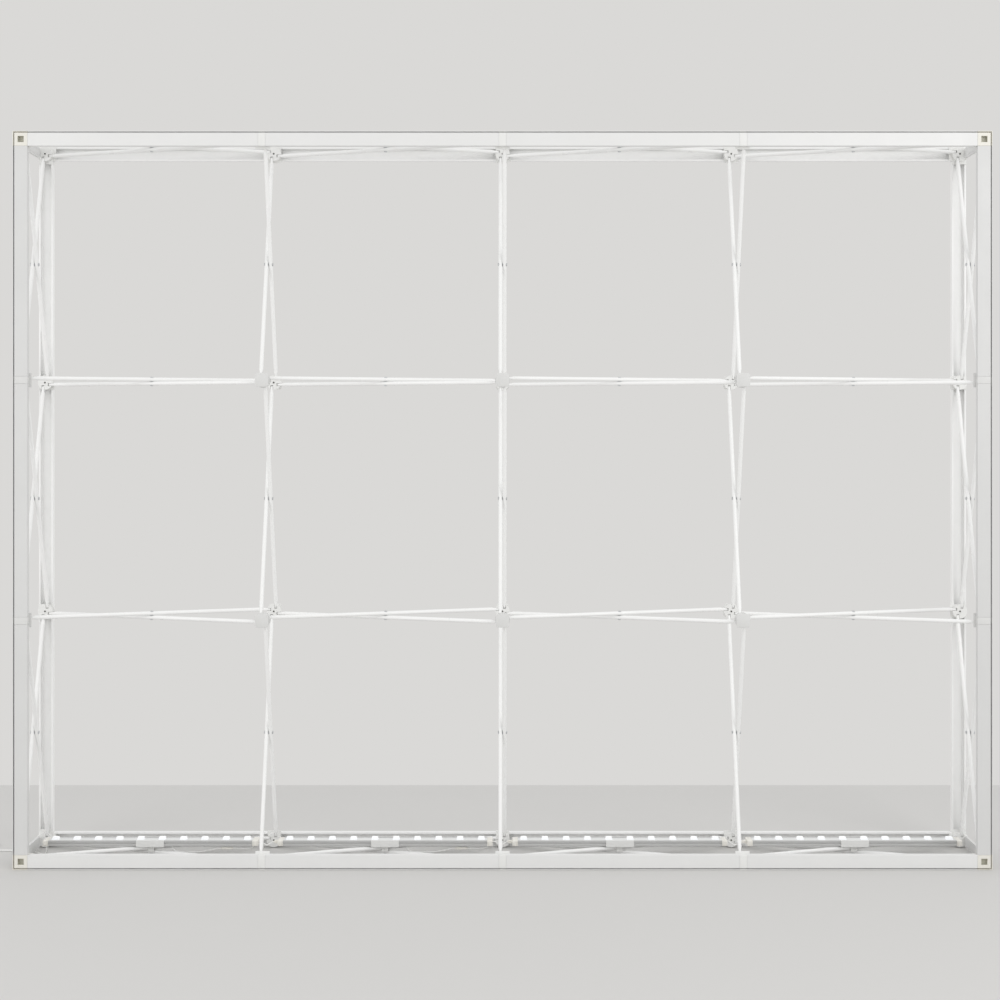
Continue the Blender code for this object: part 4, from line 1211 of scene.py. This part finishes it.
@dataclass
class MainsCord:
    """The mains cord: boot, free stretch, coil past the view's edge, and plug."""

    diameter: float = 0.005
    length: float = 1.5
    step: float = 0.012
    turn_gap: float = 0.0056
    turns: int = 6
    loop_points: int = 24
    layers: int = 2
    tail: float = 0.016
    relief_length: float = 0.022
    relief_radius: float = 0.0045
    plug_length: float = 0.036
    plug_width: float = 0.026
    plug_thick: float = 0.016
    plug_nose: float = 0.012
    pin_radius: float = 0.002
    pin_length: float = 0.019
    pin_spacing: float = 0.0185
    plug_neck: float = 0.0052
    boot_low: float = 0.0034
    boot_high: float = 0.0054
    boot_ring: float = 0.00045
    route: tuple[Spot, ...] = (
        (-1.4370, 0.0000, 0.0258), (-1.4373, 0.0004, 0.0210), (-1.4400, 0.0030, 0.0130),
        (-1.4460, 0.0090, 0.0065), (-1.4560, 0.0190, 0.0033), (-1.4720, 0.0350, 0.0028),
        (-1.4900, 0.0510, 0.0028), (-1.5120, 0.0630, 0.0028), (-1.5400, 0.0690, 0.0028),
        (-1.5800, 0.0700, 0.0028), (-1.6200, 0.0710, 0.0028), (-1.6500, 0.0740, 0.0028),
        (-1.6760, 0.0780, 0.0028))

    def coil_path(self, start: Array, heading: Array, length: float) -> tuple[Array, Array]:
        """The coil's points and the way its end leaves.

        Turn t has the radius outer - turn_gap * (half - |half - t|), and the
        height climbs by one turn_gap round the middle turn: the cord spirals
        in, steps up a layer, and spirals out again.

        Args:
            start: Where the coil starts.
            heading: Direction of the cord there.
            length: Length of cord to wind.

        Returns:
            The points, and the unit direction of the last one.
        """
        mean = length / (WHOLE * self.turns)
        half = self.turns / 2
        outer = mean + self.turn_gap * half / 2
        side = np.array((heading[1], -heading[0], 0.0))
        run = start + heading * self.diameter
        centre = run + side * outer
        first = math.atan2(run[1] - centre[1], run[0] - centre[0])
        turn = np.arange(self.turns * self.loop_points + 1) / self.loop_points
        radius = outer - self.turn_gap * (half - np.abs(half - turn))
        climb = np.clip((turn - half) * self.layers + 0.5, 0.0, 1.0)
        angle = first - WHOLE * turn
        wound = centre + np.stack((np.cos(angle) * radius, np.sin(angle) * radius,
                                   self.turn_gap * climb), axis=-1)
        leave = np.array((math.sin(first), -math.cos(first), 0.0))
        return np.concatenate((start[None], wound, (wound[-1] + leave * self.tail)[None])), leave

    def boot(self, place: Array) -> Part:
        """The ribbed, tapered boot under the first light bar.

        Its radius grows evenly up the boot, less five shallow cosine rings.

        Args:
            place: A point on its axis.

        Returns:
            The closed surface.
        """
        low, high = cad_box("cord_boot")
        height = high[2] - low[2]
        t = np.linspace(0, 1, 41)
        rings = self.boot_ring * (0.5 - 0.5 * np.cos(WHOLE * 5 * t))
        radius = self.boot_low + (self.boot_high - self.boot_low) * t - rings
        shape = lathe(np.stack((radius, t * height), axis=-1), 28, UP)
        return moved(shape, (place[0], place[1], high[2] - height))

    def plug(self, origin: Array, ahead: Array) -> tuple[list[Part], list[Part]]:
        """The flat two-pin plug: sleeve and body, and the pins.

        The sleeve widens evenly, less seven cosine rings that fade. The body's
        section is a rounded rectangle whose half-width eases from the nose to
        the shoulder along half a cosine, and its far face is drawn in along a
        quarter circle. The pins are turned rods.

        Args:
            origin: Where the cord ends.
            ahead: Direction that the plug points.

        Returns:
            The plastic's surfaces and the metal's.
        """
        place = frame_of(origin, ahead, np.cross(UP, ahead), UP)
        t = np.linspace(0, 1, 49)
        ribs = 0.0004 * (0.5 - 0.5 * np.cos(WHOLE * 7 * t)) * (1 - t * 0.3)
        thin = self.diameter / 2 + 0.0004
        sleeve = np.stack((thin + (self.relief_radius - thin) * t - ribs,
                           WALL.gap + t * self.relief_length), axis=-1)
        start = WALL.gap + self.relief_length - 0.002
        end = start + self.plug_length
        run = np.linspace(0, 1, 25) * self.plug_length
        ease = 0.5 - 0.5 * np.cos(math.pi * np.clip(run / self.plug_nose, 0, 1))
        neck = np.array((self.relief_radius + 0.001, self.plug_neck))
        full = np.array((self.plug_width / 2, self.plug_thick / 2 - 0.0002))
        face = np.clip((self.plug_length - run) / 0.0015, 0, 1)
        shrink = 1 - 0.06 * (1 - np.sqrt(1 - (1 - face) ** 2))
        half = (neck + (full - neck) * ease[:, None]) * shrink[:, None]
        section = squircle(48, 0.45) * half[:, None]
        body = skin((start + run)[:, None, None] * ALONG + spread(section, DEEP))
        r, tip = self.pin_radius, end + self.pin_length
        pin = lathe(((r, end - 0.002), (r, tip - 0.0012), (r * 0.75, tip - 0.0003), (r * 0.35, tip)),
                    20, ALONG)
        pins = [moved(pin, (0.0, side * self.pin_spacing / 2, 0.0)) for side in (-1, 1)]
        return carried([lathe(sleeve, 28, ALONG), body], place), carried(pins, place)

    def build(self) -> None:
        """Make the cord, its coil, its plug and its boot."""
        free = smooth_route(np.array(self.route), self.step)
        heading = free[-1] - free[-2]
        heading /= np.linalg.norm(heading)
        wound = self.length - path_length(free) - self.tail
        coil, leave = self.coil_path(free[-1] + heading * WALL.gap, heading, wound)
        path = np.concatenate((free, coil[1:]))
        cord = make_piece("mains_cord_sheath", [hose(path, self.diameter / 2, 20)], CORD_PVC,
                          ("mains_cord", "mains_cord_coil"))
        plastic, metal = self.plug(path[-1], leave)
        plug = make_piece("plug_body", plastic, CAP_ABS, ("mains_plug",))
        pins = make_piece("plug_pins", metal, NICKEL, ("mains_plug",))
        boot = make_piece("boot", [self.boot(path[0])], CORD_PVC, ("cord_boot",))


# Studio


@dataclass
class Studio:
    """Plain floor, soft lamps, the camera, and the sky as a pale backdrop all round."""

    floor_tone: str = "#CFCECC"
    backdrop_tone: str = "#DAD9D7"
    sky_strength: float = 0.90
    floor_end: float = 1.03
    floor_level: float = -0.0002
    reach: float = 9.0
    camera_place: Spot = (0.0, -5.05, 1.341)
    lens_mm: float = 57.6
    shift_x: float = -0.0025
    shift_y: float = -0.0678

    def floor(self) -> None:
        """A flat matt floor with a very faint mottle, which ends behind the wall."""
        r, end, low = self.reach, self.floor_end, self.floor_level
        corners = [(-r, -r, low), (r, -r, low), (r, end, low), (-r, end, low)]
        mesh = bpy.data.meshes.new("floor")
        mesh.from_pydata(corners, [], [(0, 1, 2, 3)])
        obj = bpy.data.objects.new("floor", mesh)
        bpy.context.scene.collection.objects.link(obj)
        finish = Finish("floor_paint", self.floor_tone, self.floor_tone, 0.9, roughness_drift=0.0,
                        tone_mm=400.0, grain_mm=6.0, bump_mm=0.05)
        mesh.materials.append(finish.build())

    def lamp(self, name: str, place: Spot, target: Spot,
             size: float, watts: float) -> None:
        """A soft square lamp that looks at a point.

        Args:
            name: The lamp's name.
            place: Where it hangs.
            target: Where it points.
            size: Side of the square, in metres.
            watts: Its power.
        """
        data = bpy.data.lights.new(name, "AREA")
        data.shape = "SQUARE"
        data.size = size
        data.energy = watts
        obj = bpy.data.objects.new(name, data)
        ahead = np.array(target) - np.array(place)
        ahead = ahead / np.linalg.norm(ahead)
        right = np.cross(ahead, UP)
        right = right / np.linalg.norm(right)
        matrix = frame_of(np.array(place), right, np.cross(right, ahead), -ahead)
        obj.matrix_world = Matrix(matrix.tolist())
        bpy.context.scene.collection.objects.link(obj)

    def sky(self) -> None:
        """Even light from all round, seen as pale grey by the camera and in gloss."""
        world = bpy.data.worlds.new("studio_sky")
        bpy.context.scene.world = world
        world.use_nodes = True
        tree = world.node_tree
        tree.nodes.clear()
        rays = add_node(tree, "ShaderNodeLightPath")
        seen = add_node(tree, "ShaderNodeMath", {"operation": "MAXIMUM"},
                        {0: rays.outputs["Is Camera Ray"], 1: rays.outputs["Is Glossy Ray"]})
        dim = add_node(tree, "ShaderNodeBackground",
                       values={"Color": linear("#FFFFFF"), "Strength": self.sky_strength})
        pale = add_node(tree, "ShaderNodeBackground",
                        values={"Color": linear(self.backdrop_tone), "Strength": 1.0})
        mixed = add_node(tree, "ShaderNodeMixShader",
                         links={0: seen.outputs[0], 1: dim.outputs[0], 2: pale.outputs[0]})
        add_node(tree, "ShaderNodeOutputWorld", links={"Surface": mixed.outputs[0]})

    def build(self) -> None:
        """Make the stage, the lamps and the camera."""
        self.floor()
        self.sky()
        self.lamp("key", (3.0, -3.4, 2.8), (0.0, 0.0, 1.1), 2.4, 42.0)
        self.lamp("fill", (-3.6, -3.2, 1.9), (0.0, 0.0, 1.2), 2.4, 30.0)
        data = bpy.data.cameras.new("photo_view")
        data.lens = self.lens_mm
        data.shift_x = self.shift_x
        data.shift_y = self.shift_y
        data.clip_end = 60.0
        camera = bpy.data.objects.new("photo_view", data)
        matrix = frame_of(np.array(self.camera_place), ALONG, UP, -DEEP)
        camera.matrix_world = Matrix(matrix.tolist())
        bpy.context.scene.collection.objects.link(camera)
        bpy.context.scene.camera = camera
        bpy.context.scene.view_settings.view_transform = "Standard"


def main() -> None:
    logging.basicConfig(level=logging.INFO, format="%(message)s")
    Studio().build()
    MainsCord().build()
    ScissorFrame().build()
    ChannelBars().build()
    CornerStruts().build()
    LightBars().build()


if __name__ == "__main__":
    main()
